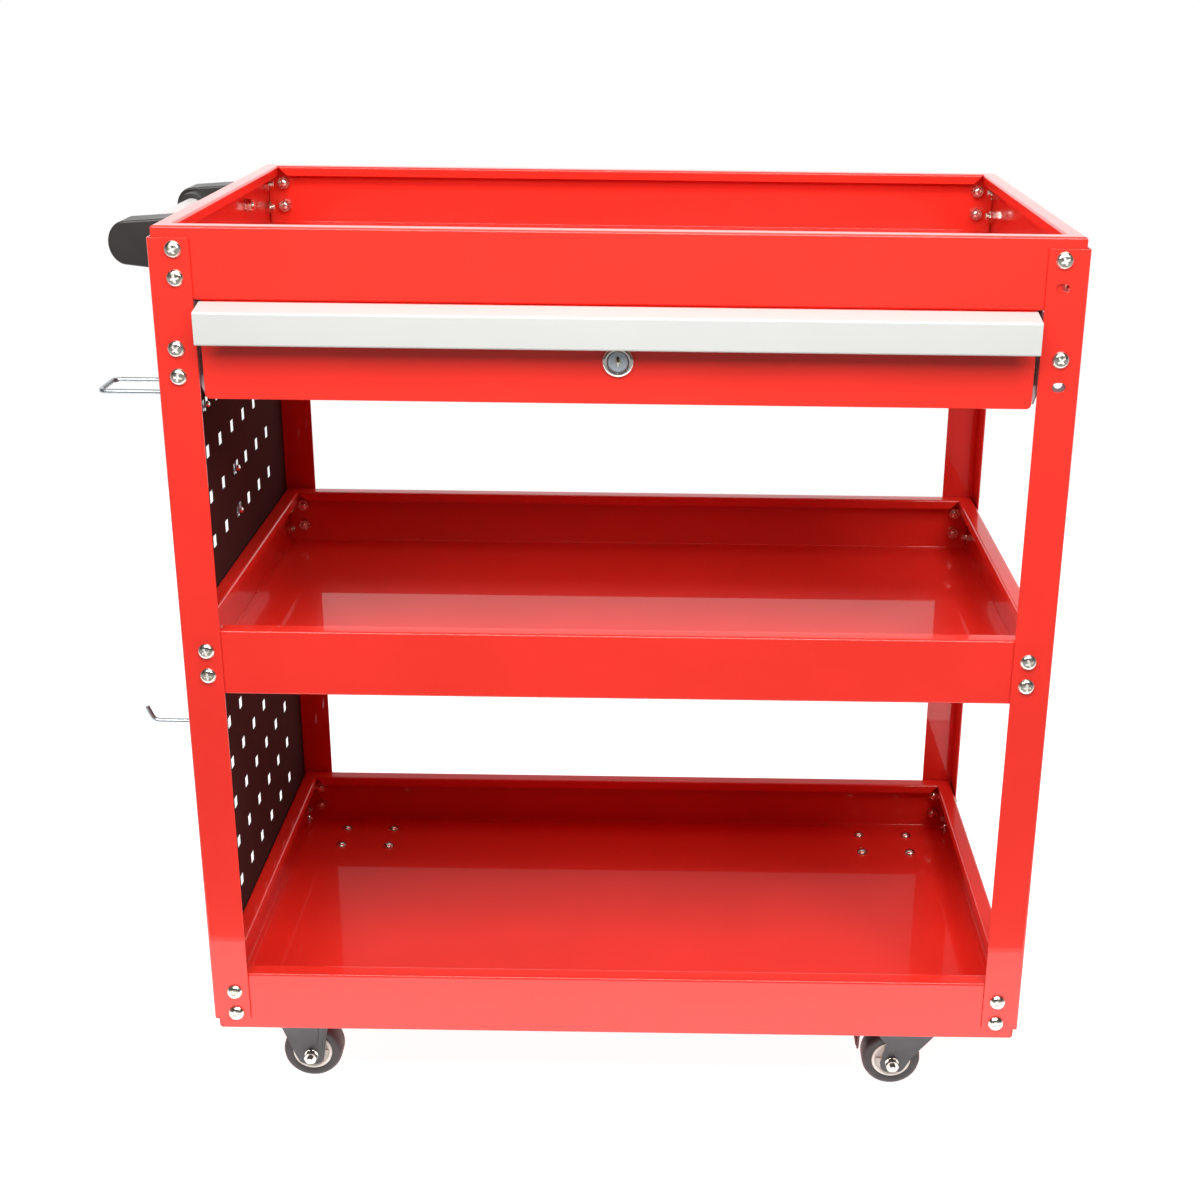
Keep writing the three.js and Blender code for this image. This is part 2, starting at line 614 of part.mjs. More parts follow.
function lockPlug() {
  const face = FRONT_Y - GAP - BEZEL_DEPTH + 0.6;
  const body = rod('y', PLUG_R, face, BARREL_REAR_Y + GAP, [0, LOCK_Z], LOCK_SIDES);
  const stem = rod('y', 3.6, BARREL_REAR_Y, CAM_FRONT_Y + CAM_THICKNESS + 2, [0, LOCK_Z], 8);
  const keyway = box([-1, 1], [face - 1, face + 14], [LOCK_Z - 4.2, LOCK_Z + 4.2]);
  return cut(join(body, stem), keyway);
}

// The cam lies level, towards +X, while the drawer is free, and stands up behind the strike to lock it.
function lockCam() {
  const rear = CAM_FRONT_Y + CAM_THICKNESS;
  const arm = box([0, CAM_LENGTH], [CAM_FRONT_Y, rear], [LOCK_Z - 6, LOCK_Z + 6]);
  const boss = rod('y', 8, CAM_FRONT_Y, rear, [0, LOCK_Z], 16);
  return cut(join(arm, boss), rod('y', 3.9, CAM_FRONT_Y - 1, rear + 1, [0, LOCK_Z], 8));
}

// An angle under the top tray that the raised cam bears against.
function lockStrike() {
  const top = TRAY_LEVELS.top - GAP;
  const rear = CAM_FRONT_Y - 1.2;
  const outline = [[rear, 668], [rear, top], [rear - 12, top], [rear - 12, top - SHEET],
    [rear - SHEET, top - SHEET], [rear - SHEET, 668]];
  return prism(outline, 'x', -15, 15);
}

add('lock_body', lockBody(), MATERIALS.chrome);
add('lock_nut', lockNut(), MATERIALS.zinc);
add('lock_plug', lockPlug(), MATERIALS.chrome);
add('lock_cam', lockCam(), MATERIALS.zinc);
add('lock_strike', lockStrike(), MATERIALS.zinc);

// ---------------------------------------------------------------- casters

// Caster pieces are made with the axle or swivel axis on the local Z axis and the wheel rolling along X.

function plate(...holes) {
  const shape = box([-PLATE_LENGTH / 2, PLATE_LENGTH / 2], [-PLATE_WIDTH / 2, PLATE_WIDTH / 2],
    [PLATE_TOP - PLATE_THICKNESS, PLATE_TOP]);
  return cut(shape, ...casterBoltHoles(0, 0, PLATE_TOP - 5, PLATE_TOP + 1), ...holes);
}

// Both blades of a fork, from an outline that ends in a round lobe about the axle.
function blades(outline, axleX, ...holes) {
  const lobe = 9.5;
  const round = [];
  for (let i = 0; i <= 6; i += 1) {
    const angle = Math.PI * (1.12 + (0.86 * i) / 6);
    round.push([axleX + lobe * Math.cos(angle), WHEEL_R + lobe * Math.sin(angle)]);
  }
  const whole = [...outline.before, ...round, ...outline.after];
  const axleHole = rod('y', AXLE_R + GAP, -30, 30, [axleX, WHEEL_R], AXLE_SIDES);
  return [-1, 1].map((sign) => {
    const near = sign * BLADE_INNER_Y;
    const far = sign * (BLADE_INNER_Y + BLADE_THICKNESS);
    return cut(prism(whole, 'y', Math.min(near, far), Math.max(near, far)), axleHole, ...holes);
  });
}

function fixedFork() {
  const top = PLATE_TOP - PLATE_THICKNESS / 2;
  const outline = {
    before: [[-31, top], [-24.5, 52.5], [-16, 33.5]],
    after: [[11.5, 31], [14, 52.5], [20, top]],
  };
  return join(plate(), ...blades(outline, 0));
}

// The swivel fork trails behind its axis, towards -X.
function swivelFork() {
  const outline = {
    before: [[-38, CROWN_TOP], [-38, 51], [-34.5, 46.5], [-31, 42.5], [-31.5, 36]],
    after: [[-6, 32.5], [7, 49.5], [17, CROWN_TOP]],
  };
  const [pivotX, pivotZ] = PEDAL_PIVOT;
  const pivotHole = rod('y', 2.3, -30, 30, [-pivotX, pivotZ], HOLE_SIDES);
  const reach = BLADE_INNER_Y + BLADE_THICKNESS;
  const under = CROWN_TOP - CROWN_THICKNESS;
  const crown = join(box([-38, 14], [-reach, reach], [under, CROWN_TOP]),
    rod('z', CROWN_R, under, CROWN_TOP, [0, 0], 20));
  const pinHole = rod('z', KINGPIN_R + 2 * GAP, under - 1, CROWN_TOP + 1, [0, 0], AXLE_SIDES);
  return cut(join(crown, ...blades(outline, -TRAIL, pivotHole)), pinHole);
}

function swivelPlate() {
  const under = PLATE_TOP - PLATE_THICKNESS;
  const race = rod('z', 17, CROWN_TOP + 0.6, under + 0.5, [0, 0], 20);
  const pinHole = rod('z', KINGPIN_R + 2 * GAP, CROWN_TOP, PLATE_TOP + 1, [0, 0], AXLE_SIDES);
  return cut(join(plate(), race), pinHole);
}

function kingpin() {
  const head = CROWN_TOP - CROWN_THICKNESS - GAP;
  const profile = [[0, head - 2.4], [5, head - 2.4], [7, head - 1], [7, head], [KINGPIN_R, head],
    [KINGPIN_R, PLATE_TOP - 0.1], [0, PLATE_TOP - 0.1]];
  return aim(turned(profile, AXLE_SIDES), 'z', [0, 0, 0]);
}

// Hexagon head at the rear, nut and bolt end at the front.
function axleBolt() {
  const outside = BLADE_INNER_Y + BLADE_THICKNESS + GAP;
  const at = [0, WHEEL_R];
  return join(rod('y', AXLE_R, -outside - 9, outside + 1, at, AXLE_SIDES),
    rod('y', 6.4, -outside - 5.5, -outside, at, 6), rod('y', 6.4, outside, outside + 4, at, 6));
}

function hub() {
  const bore = AXLE_R + GAP;
  const half = BLADE_INNER_Y - 0.6;
  const side = TREAD_WIDTH / 2;
  const profile = [[bore, -half], [7, -half], [8, -side + 2.5], [13.2, -side + 2], [14, -side], [HUB_R, -side],
    [HUB_R, side], [14, side], [13.2, side - 2], [8, side - 2.5], [7, half], [bore, half]];
  return turned(profile, HUB_SIDES).translate(0, 0, WHEEL_R);
}

// The tread's flats touch a circle of the wheel's radius, so that a flat can rest on the floor.
function tyre() {
  const outer = WHEEL_R / Math.cos(Math.PI / WHEEL_SIDES);
  const half = TREAD_WIDTH / 2;
  const bead = (HUB_R + GAP) / Math.cos(Math.PI / WHEEL_SIDES);
  const profile = [[bead, -half], [20.5, -half - 0.6], [outer - 2.2, -half], [outer, -half + 3],
    [outer, half - 3], [outer - 2.2, half], [20.5, half + 0.6], [bead, half]];
  return turned(profile, WHEEL_SIDES).translate(0, 0, WHEEL_R);
}

// A stepped lever over the back of the wheel, turning on a pin through both blades.
function brakePedal() {
  const [pivotX, pivotZ] = PEDAL_PIVOT;
  const outline = [[27, 58.6], [33, 59.6], [51, 54.6], [56, 50], [56.5, 36], [54.7, 36], [54, 48.7], [50, 52.6],
    [33, 57], [27, 56]];
  const lever = prism(outline.map(([u, z]) => [-u, z]), 'y', -11, 11);
  const pin = rod('y', 2, -16, 16, [-pivotX, pivotZ], HOLE_SIDES);
  return join(lever, pin);
}

for (const [sideName, side] of Object.entries(SIDES)) {
  for (const [endName, end] of Object.entries(ENDS)) {
    const place = `${endName}_${sideName}`;
    const caster = new THREE.Group();
    caster.position.set(side * CASTER_X, end * CASTER_Y, 0);
    cart.add(caster);
    const wheel = new THREE.Group();
    wheel.position.x = side > 0 ? -TRAIL : 0;
    caster.add(wheel);
    if (side > 0) {
      add(`swivel_plate_${place}`, swivelPlate(), MATERIALS.zinc, caster);
      add(`kingpin_${place}`, kingpin(), MATERIALS.zinc, caster);
      add(`swivel_fork_${place}`, swivelFork(), MATERIALS.forkPaint, caster);
      add(`brake_pedal_${place}`, brakePedal(), MATERIALS.blackPlastic, caster);
    } else {
      add(`fixed_fork_${place}`, fixedFork(), MATERIALS.forkPaint, caster);
    }
    add(`axle_bolt_${place}`, axleBolt(), MATERIALS.zinc, wheel);
    add(`hub_${place}`, hub(), MATERIALS.cream, wheel);
    add(`tyre_${place}`, tyre(), MATERIALS.rubber, wheel);
  }
}

// ---------------------------------------------------------------- origin

cart.updateMatrixWorld(true);
const bounds = new THREE.Box3().setFromObject(cart, true);
const middle = bounds.getCenter(new THREE.Vector3());
cart.position.set(-middle.x, -middle.y, -bounds.min.z);
cart.updateMatrixWorld(true);

export default cart;
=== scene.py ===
import math

import bmesh
import bpy
from mathutils import Matrix, Vector


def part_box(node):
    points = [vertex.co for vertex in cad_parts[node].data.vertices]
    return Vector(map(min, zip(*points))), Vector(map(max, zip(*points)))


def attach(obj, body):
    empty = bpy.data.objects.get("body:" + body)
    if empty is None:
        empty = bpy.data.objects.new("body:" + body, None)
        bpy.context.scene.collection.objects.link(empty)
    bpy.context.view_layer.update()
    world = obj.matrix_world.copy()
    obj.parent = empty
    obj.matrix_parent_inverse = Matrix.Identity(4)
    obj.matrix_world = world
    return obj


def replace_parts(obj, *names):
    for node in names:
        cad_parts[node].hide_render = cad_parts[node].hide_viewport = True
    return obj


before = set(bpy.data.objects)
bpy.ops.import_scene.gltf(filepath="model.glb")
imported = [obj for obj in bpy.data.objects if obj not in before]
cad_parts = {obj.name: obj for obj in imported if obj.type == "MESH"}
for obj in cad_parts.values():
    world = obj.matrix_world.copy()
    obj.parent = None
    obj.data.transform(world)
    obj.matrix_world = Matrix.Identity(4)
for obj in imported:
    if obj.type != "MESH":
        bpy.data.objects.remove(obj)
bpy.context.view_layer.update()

# ---- places, from the frame

MM = 0.001
ENDS = {"front": -1, "rear": 1}
SIDES = {"left": -1, "right": 1}
ROOT = "frame"

FRONT_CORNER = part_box("leg_front_left")[0]
REAR_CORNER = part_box("leg_rear_right")[1]
MIDDLE = Vector(((FRONT_CORNER.x + REAR_CORNER.x) / 2, (FRONT_CORNER.y + REAR_CORNER.y) / 2, 0))
TO_SCENE = Matrix.Translation(MIDDLE) @ Matrix.Scale(MM, 4)


def at(x, y, z):
    """A point given in millimetres from the middle of the four legs, at floor level."""
    return MIDDLE + Vector((x, y, z)) * MM


def local_box(node):
    """A node's lowest and highest corner in millimetres from the middle of the legs, at floor level."""
    low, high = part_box(node)
    return (low - MIDDLE) / MM, (high - MIDDLE) / MM


# ---- sizes, in millimetres

LEG_SHEET = 1.2
TRAY_SHEET = 1.0
SHEET = 1.0             # of the drawer, its pull and its slide carriers
RIM = 13.5
LIP = 8.4
FOLD_R = 1.5            # centre-line radius of the sheet's folds
SCREW_INSET = 18.5      # from the outer face of the other leg flange
SCREW_PAIR = (16.5, 36.9)
SLIDE_SCREW_INSET = 15.1
SLIDE_SCREWS = (628.1, 648.7)
HEAD_R = 6.3
THREAD_R = 3.0
HOLE_R = 3.3
SLOT_R = 3.5
SLOT_HALF = 1.4         # half the straight part of the slots in the legs
NUT_FLATS = 10.0
NUT_HEIGHT = 5.0
NUT_GAP = 0.05          # from the sheet to the nut
TAB_PITCH = 38.0        # of a hook's two tabs, and of the holes they hang in
TAB_INSET = 8.0         # from the end of a hook's plate to its tab
BRACKET_COLLAR = 16.0   # how far a handle bracket's collar stands off its body
TUBE_GAP = 0.35         # around the handle tube
LOCK_Z = 644.0
CASTER_BOLTS = (47.5, 34.0)
CASTER_X = 261.5
CASTER_Y = 137.5
CASTER_PLATE = 2.2
BLADE = 2.0             # the thickness of a fork's blades
BLADE_INNER = 12.2      # from the middle of the wheel to a blade
AXLE_HALF = 14.5
TRAIL = 26.0
WHEEL_R = 25.0

# The studio's brightness, where 1 is white.
FLOOR_GLOW = 0.92
BACKDROP = 1.55
BACKDROP_HIGH = 0.28
ROOM_LOW = 0.40
ROOM_HIGH = 0.05

# Rectangular lights: place and target in millimetres, width and depth in metres, power in watts,
# and whether the camera sees them.
LIGHTS = {
    "front_softbox": ((10, -1000, 1650), (0, -180, 400), (1.7, 0.45), 25, True),
    "near_softbox": ((20, -850, 1090), (0, -180, 500), (1.5, 0.20), 7.5, False),
    "top_softbox": ((100, 100, 2500), (0, 0, 400), (2.0, 1.6), 14, True),
    "low_softbox": ((0, -310, 3), (0, -310, 500), (1.3, 0.20), 1.2, False),
}

# The camera: its place in millimetres, and its angles in degrees.
CAMERA_PLACE = (35.0, -1345.3, 923.2)
CAMERA_YAW, CAMERA_PITCH, CAMERA_ROLL = -0.17, -18.94, 0.7
SENSOR = 36
LENS = 49.74
SHIFT_X, SHIFT_Y = -0.05, -0.0667

HALF_X, HALF_Y = local_box("leg_rear_right")[1].xy
TRAYS = {name: local_box(name + "_tray") for name in ("bottom", "middle", "top")}
EMPTY_HOLES = (TRAYS["top"][0].z + SCREW_PAIR[0], SLIDE_SCREWS[0])      # on the right front leg


# ---- materials

def shader(name, color, roughness, metallic=0.0, sockets=None):
    """A principled material with its nodes; sockets are set directly on the shader."""
    material = bpy.data.materials.new(name)
    material.use_nodes = True
    nodes = material.node_tree.nodes
    principled = nodes["Principled BSDF"]
    principled.inputs["Base Color"].default_value = (*color, 1)
    principled.inputs["Roughness"].default_value = roughness
    principled.inputs["Metallic"].default_value = metallic
    for socket, value in (sockets or {}).items():
        principled.inputs[socket].default_value = value
    return material


def noise(material, scale):
    """A noise texture in object space, scale in cells per metre."""
    nodes, links = material.node_tree.nodes, material.node_tree.links
    place = nodes.new("ShaderNodeTexCoord")
    texture = nodes.new("ShaderNodeTexNoise")
    texture.inputs["Scale"].default_value = scale
    links.new(place.outputs["Object"], texture.inputs["Vector"])
    return texture.outputs["Fac"]


def connect(material, source, socket):
    material.node_tree.links.new(source, material.node_tree.nodes["Principled BSDF"].inputs[socket])


def vary_color(material, scale, low, high):
    """Mixes the base colour between two colours in patches."""
    ramp = material.node_tree.nodes.new("ShaderNodeValToRGB")
    for element, position, color in zip(ramp.color_ramp.elements, (0.35, 0.65), (low, high)):
        element.position = position
        element.color = (*color, 1)
    material.node_tree.links.new(noise(material, scale), ramp.inputs["Fac"])
    connect(material, ramp.outputs["Color"], "Base Color")


def vary_roughness(material, scale, low, high):
    spread = material.node_tree.nodes.new("ShaderNodeMapRange")
    for name, value in (("From Min", 0.3), ("From Max", 0.7), ("To Min", low), ("To Max", high)):
        spread.inputs[name].default_value = value
    material.node_tree.links.new(noise(material, scale), spread.inputs["Value"])
    connect(material, spread.outputs["Result"], "Roughness")


def bump(material, scale, strength):
    """A fine unevenness of the surface, 0.2 mm high at full strength."""
    raised = material.node_tree.nodes.new("ShaderNodeBump")
    raised.inputs["Strength"].default_value = strength
    raised.inputs["Distance"].default_value = 0.0002
    material.node_tree.links.new(noise(material, scale), raised.inputs["Height"])
    connect(material, raised.outputs["Normal"], "Normal")


def red_paint():
    sockets = {"Coat Weight": 0.66, "Coat Roughness": 0.015, "Specular IOR Level": 0.12}
    material = shader("red_gloss_coat", (0.75, 0.026, 0.015), 0.30, sockets=sockets)
    vary_color(material, 9, (0.73, 0.025, 0.014), (0.78, 0.027, 0.016))
    vary_roughness(material, 25, 0.28, 0.32)
    bump(material, 700, 0.02)
    return material


def white_paint():
    material = shader("white_coat", (0.50, 0.505, 0.483), 0.30)
    vary_color(material, 14, (0.495, 0.500, 0.478), (0.508, 0.513, 0.491))
    bump(material, 600, 0.02)
    return material


def black_paint():
    # The reddish tint of this black is painted red bounce light from the red trays.
    material = shader("black_coat_painted_red_bounce", (0.060, 0.024, 0.022), 0.50, sockets={"Specular IOR Level": 0.0})
    vary_roughness(material, 90, 0.46, 0.54)
    bump(material, 900, 0.06)
    return material


def black_plastic():
    material = shader("black_moulding", (0.013, 0.010, 0.008), 0.40, sockets={"Specular IOR Level": 0.9})
    vary_roughness(material, 50, 0.36, 0.44)
    bump(material, 1600, 0.18)
    return material


def black_pedal_painted_red_reflection():
    # A black moulding: its dark red is a painted reflection of the red trays.
    material = shader("brake_moulding_painted_red_reflection", (0.09, 0.012, 0.012), 0.40)
    vary_roughness(material, 60, 0.34, 0.46)
    bump(material, 1500, 0.12)
    return material


def tube_coat():
    material = shader("light_grey_coat", (0.68, 0.66, 0.64), 0.45, sockets={"Specular IOR Level": 0.3})
    vary_color(material, 25, (0.66, 0.64, 0.62), (0.70, 0.68, 0.66))
    bump(material, 500, 0.04)
    return material


def zinc():
    material = shader("zinc_plate", (0.70, 0.67, 0.60), 0.24, 1.0)
    vary_color(material, 260, (0.80, 0.79, 0.75), (0.70, 0.63, 0.50))
    vary_roughness(material, 400, 0.16, 0.30)
    bump(material, 1800, 0.06)
    return material


def wire_zinc():
    material = shader("drawn_wire_zinc", (0.60, 0.64, 0.66), 0.34, 1.0)
    vary_color(material, 150, (0.57, 0.61, 0.63), (0.63, 0.67, 0.69))
    vary_roughness(material, 100, 0.32, 0.37)
    return material


def zinc_painted_red_reflection():
    # Grey zinc; its mauve tint is a painted reflection of the red paint around it.
    material = shader("sheet_zinc_painted_red_reflection", (0.30, 0.19, 0.19), 0.42, 0.6)
    vary_color(material, 40, (0.32, 0.20, 0.21), (0.27, 0.16, 0.17))
    vary_roughness(material, 120, 0.30, 0.44)
    return material


def recess_zinc_painted_highlight():
    """The rougher metal in a screw's pressed recess, made paler than the zinc as a painted highlight of the
    light it catches from all sides.
    """
    material = shader("pressed_zinc_painted_highlight", (0.90, 0.89, 0.84), 0.55, 0.3)
    vary_color(material, 900, (0.95, 0.94, 0.91), (0.78, 0.75, 0.67))
    return material


def plug_zinc():
    material = shader("satin_die_cast", (0.48, 0.53, 0.57), 0.45, 0.5)
    vary_color(material, 1200, (0.38, 0.43, 0.48), (0.58, 0.63, 0.67))
    return material


def chrome():
    material = shader("bright_plate", (0.84, 0.81, 0.74), 0.10, 1.0)
    vary_roughness(material, 500, 0.07, 0.14)
    return material


def brass():
    material = shader("brass", (0.62, 0.48, 0.24), 0.22, 1.0)
    vary_roughness(material, 900, 0.16, 0.28)
    return material


def fork_coat():
    material = shader("grey_fork_coat", (0.070, 0.072, 0.075), 0.34, 0.25)
    vary_color(material, 70, (0.065, 0.067, 0.070), (0.076, 0.078, 0.081))
    bump(material, 700, 0.08)
    return material


def cream_plastic():
    material = shader("cream_moulding", (0.80, 0.76, 0.68), 0.38)
    vary_color(material, 60, (0.78, 0.74, 0.66), (0.83, 0.79, 0.72))
    bump(material, 900, 0.06)
    return material


def rubber():
    material = shader("dark_rubber", (0.052, 0.047, 0.047), 0.50)
    vary_roughness(material, 120, 0.42, 0.60)
    bump(material, 1400, 0.15)
    return material


MATERIALS = {
    "red_paint": red_paint(),
    "white_paint": white_paint(),
    "black_paint": black_paint(),
    "black_plastic": black_plastic(),
    "brake_plastic_painted_red_reflection": black_pedal_painted_red_reflection(),
    "grey_tube": tube_coat(),
    "zinc": zinc(),
    "wire_zinc": wire_zinc(),
    "zinc_painted_red_reflection": zinc_painted_red_reflection(),
    "chrome": chrome(),
    "brass": brass(),
    "recess_zinc_painted_highlight": recess_zinc_painted_highlight(),
    "plug_zinc": plug_zinc(),
    "fork_paint": fork_coat(),
    "hub_cream": cream_plastic(),
    "rubber": rubber(),
}


# ---- mesh tools

SHARP = math.radians(35)


def finished(mesh, name, finish, body, bevel=0.0, segments=2):
    """Turns a bmesh into a shown piece that rides on a body. Its points are in millimetres."""
    bmesh.ops.recalc_face_normals(mesh, faces=mesh.faces)
    for face in mesh.faces:
        face.smooth = True
    for edge in mesh.edges:
        edge.smooth = edge.is_manifold and edge.calc_face_angle() < SHARP
    mesh.transform(TO_SCENE)
    data = bpy.data.meshes.new(name)
    mesh.to_mesh(data)
    mesh.free()
    data.materials.append(MATERIALS[finish])
    piece = bpy.data.objects.new(name, data)
    bpy.context.scene.collection.objects.link(piece)
    if bevel:
        add_bevel(piece, bevel, segments)
    keep_flats(piece)
    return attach(piece, body)


def keep_flats(piece):
    """Shades broad faces flat, so that only the folds and rounded edges bend the light."""
    modifier = piece.modifiers.new("flat_faces", "WEIGHTED_NORMAL")
    modifier.keep_sharp = True


def add_bevel(piece, width, segments=2):
    """Rounds the sharp edges, before the broad faces are shaded flat."""
    modifier = piece.modifiers.new("edge_rounding", "BEVEL")
    modifier.width = width * MM
    modifier.segments = segments
    modifier.limit_method = "ANGLE"
    modifier.angle_limit = math.radians(50)
    if "flat_faces" in piece.modifiers:
        piece.modifiers.move(len(piece.modifiers) - 1, 0)


def arc(centre, radius, start, turn, steps):
    """Points on a circle in the plane, angles in degrees."""
    points = []
    for i in range(steps + 1):
        angle = math.radians(start + turn * i / steps)
        points.append((centre[0] + radius * math.cos(angle), centre[1] + radius * math.sin(angle)))
    return points


def fold_path(corners, radius, steps=5):
    """A polyline with rounded corners, as (point, unit normal to its left) pairs."""
    points = [Vector(corner) for corner in corners]
    directions = [(b - a).normalized() for a, b in zip(points, points[1:])]
    path = [(points[0], directions[0])]
    for corner, before, after in zip(points[1:], directions, directions[1:]):
        turn = before.angle_signed(after)
        back = radius * math.tan(abs(turn) / 2)
        side = Vector((-before.y, before.x)) * (-1 if turn > 0 else 1)
        centre = corner - before * back + side * radius
        for i in range(steps + 1):
            turned = Matrix.Rotation(-turn * i / steps, 2)
            path.append((centre - (turned @ side) * radius, turned @ before))
    path.append((points[-1], directions[-1]))
    return [(point, Vector((-way.y, way.x))) for point, way in path]


def add_sheet(mesh, corners, sheet, place, radius=FOLD_R):
    """A folded sheet: corners run along the middle of its section, and place(u, w, end) puts it in space."""
    pairs = []
    for point, normal in fold_path(corners, radius):
        pairs.append((point + normal * sheet / 2, point - normal * sheet / 2))
    rings = []
    for end in (-1, 1):
        rings.append([[mesh.verts.new(place(p.x, p.y, end)) for p in pair] for pair in pairs])
    first, last = rings
    for i in range(len(pairs) - 1):
        mesh.faces.new((first[i][0], first[i + 1][0], last[i + 1][0], last[i][0]))
        mesh.faces.new((first[i + 1][1], first[i][1], last[i][1], last[i + 1][1]))
        mesh.faces.new((first[i][0], first[i][1], first[i + 1][1], first[i + 1][0]))
        mesh.faces.new((last[i][1], last[i][0], last[i + 1][0], last[i + 1][1]))
    for i in (0, len(pairs) - 1):
        mesh.faces.new((first[i][1], first[i][0], last[i][0], last[i][1]))


def join_rings(mesh, rings):
    """A skin of four-cornered faces over closed rings of equally many points."""
    count = len(rings[0])
    for lower, upper in zip(rings, rings[1:]):
        for i in range(count):
            j = (i + 1) % count
            mesh.faces.new((lower[i], lower[j], upper[j], upper[i]))


def close_rings(mesh, rings):
    """The same skin, closed by the first and the last ring."""
    join_rings(mesh, rings)
    mesh.faces.new(rings[0])
    mesh.faces.new(rings[-1])


def add_prism(mesh, outline, place, low, high):
    """A closed outline swept between two heights; place(a, b, height) puts each point in space."""
    close_rings(mesh, [[mesh.verts.new(place(a, b, height)) for a, b in outline] for height in (low, high)])


def upright(a, b, y):
    """The place function of an outline that stands upright, facing the front."""
    return a, y, b


def add_box(mesh, low, high):
    outline = [(low[0], low[1]), (high[0], low[1]), (high[0], high[1]), (low[0], high[1])]
    add_prism(mesh, outline, lambda a, b, height: (a, b, height), low[2], high[2])


def add_lathe(mesh, profile, place, sides=40, closed=False):
    """A profile of (radius, height) turned about an axis; place(a, b, height) puts each point in space."""
    rings = []
    for radius, height in profile:
        if radius == 0:
            rings.append([mesh.verts.new(place(0, 0, height))] * sides)
            continue
        ring = []
        for i in range(sides):
            angle = 2 * math.pi * i / sides
            ring.append(mesh.verts.new(place(radius * math.cos(angle), radius * math.sin(angle), height)))
        rings.append(ring)
    spans = list(zip(rings, rings[1:]))
    if closed:
        spans.append((rings[-1], rings[0]))
    for lower, upper in spans:
        for i in range(sides):
            j = (i + 1) % sides
            corners = list(dict.fromkeys((lower[i], lower[j], upper[j], upper[i])))
            if len(corners) > 2:
                mesh.faces.new(corners)


def add_wire(mesh, corners, bend, radius=2.0, sides=14, steps=7):
    """A round wire along straight stretches with rounded bends and slightly domed ends."""
    points = [Vector(corner) for corner in corners]
    path = [points[0]]
    for before, corner, after in zip(points, points[1:], points[2:]):
        start = corner + (before - corner).normalized() * bend
        end = corner + (after - corner).normalized() * bend
        for i in range(steps + 1):
            t = i / steps
            path.append(start * (1 - t) ** 2 + corner * 2 * t * (1 - t) + end * t ** 2)
    path.append(points[-1])
    side = (path[1] - path[0]).orthogonal().normalized()
    rings = []
    for i, point in enumerate(path):
        way = (path[min(i + 1, len(path) - 1)] - path[max(i - 1, 0)]).normalized()
        side = (side - way * side.dot(way)).normalized()
        up = way.cross(side)
        shrinks = [(0.0, 1.0)]
        if i == 0:
            shrinks = [(0.0, 0.55), (0.3, 0.9), (0.8, 1.0)]
        if i == len(path) - 1:
            shrinks = [(-0.8, 1.0), (-0.3, 0.9), (0.0, 0.55)]
        for shift, scale in shrinks:
            ring = []
            for k in range(sides):
                angle = 2 * math.pi * k / sides
                around = side * math.cos(angle) + up * math.sin(angle)
                ring.append(mesh.verts.new(point + way * shift * radius * 0.5 + around * radius * scale))
            rings.append(ring)
    close_rings(mesh, rings)


def placer(origin, axis, turn=0.0):
    """A place function that stands a piece on a point, its own height along an axis."""
    way = Vector(axis).normalized()
    spin = way.to_track_quat("Z", "Y").to_matrix() @ Matrix.Rotation(math.radians(turn), 3, "Z")
    start = Vector(origin)

    def place(a, b, height):
        return start + spin @ Vector((a, b, height))
    return place


def plain_object(name, mesh):
    """An object with nothing but its mesh: a tool to cut with, or the floor."""
    bmesh.ops.recalc_face_normals(mesh, faces=mesh.faces)
    data = bpy.data.meshes.new(name)
    mesh.to_mesh(data)
    mesh.free()
    tool = bpy.data.objects.new(name, data)
    bpy.context.scene.collection.objects.link(tool)
    return tool


def subtract(piece, tool):
    """Cuts a tool out of a piece's own mesh, and removes the tool and the piece's modifiers."""
    piece.modifiers.clear()
    modifier = piece.modifiers.new("cut", "BOOLEAN")
    modifier.object = tool
    modifier.operation = "DIFFERENCE"
    modifier.solver = "EXACT"
    graph = bpy.context.evaluated_depsgraph_get()
    rest = bpy.data.meshes.new_from_object(piece.evaluated_get(graph))
    piece.modifiers.clear()
    piece.data = rest
    bpy.data.objects.remove(tool)


def cut(piece, mesh):
    """Cuts a closed mesh, in millimetres, out of a shown piece."""
    mesh.transform(TO_SCENE)
    subtract(piece, plain_object("cutter", mesh))
    keep_flats(piece)


def drill(piece, holes):
    """Cuts round holes, given as (point, axis, radius, depth)."""
    mesh = bmesh.new()
    for point, axis, radius, depth in holes:
        add_lathe(mesh, [(0, -depth), (radius, -depth), (radius, depth), (0, depth)], placer(point, axis), 32)
    cut(piece, mesh)


def cut_slot(piece, point, depth=4):
    """Cuts a level slot through a leg's front flange."""
    x, y, z = point
    outline = arc((x + SLOT_HALF, z), SLOT_R, -90, 180, 14)
    outline += arc((x - SLOT_HALF, z), SLOT_R, 90, 180, 14)
    mesh = bmesh.new()
    add_prism(mesh, outline, upright, y - depth, y + depth)
    cut(piece, mesh)


# ---- fasteners

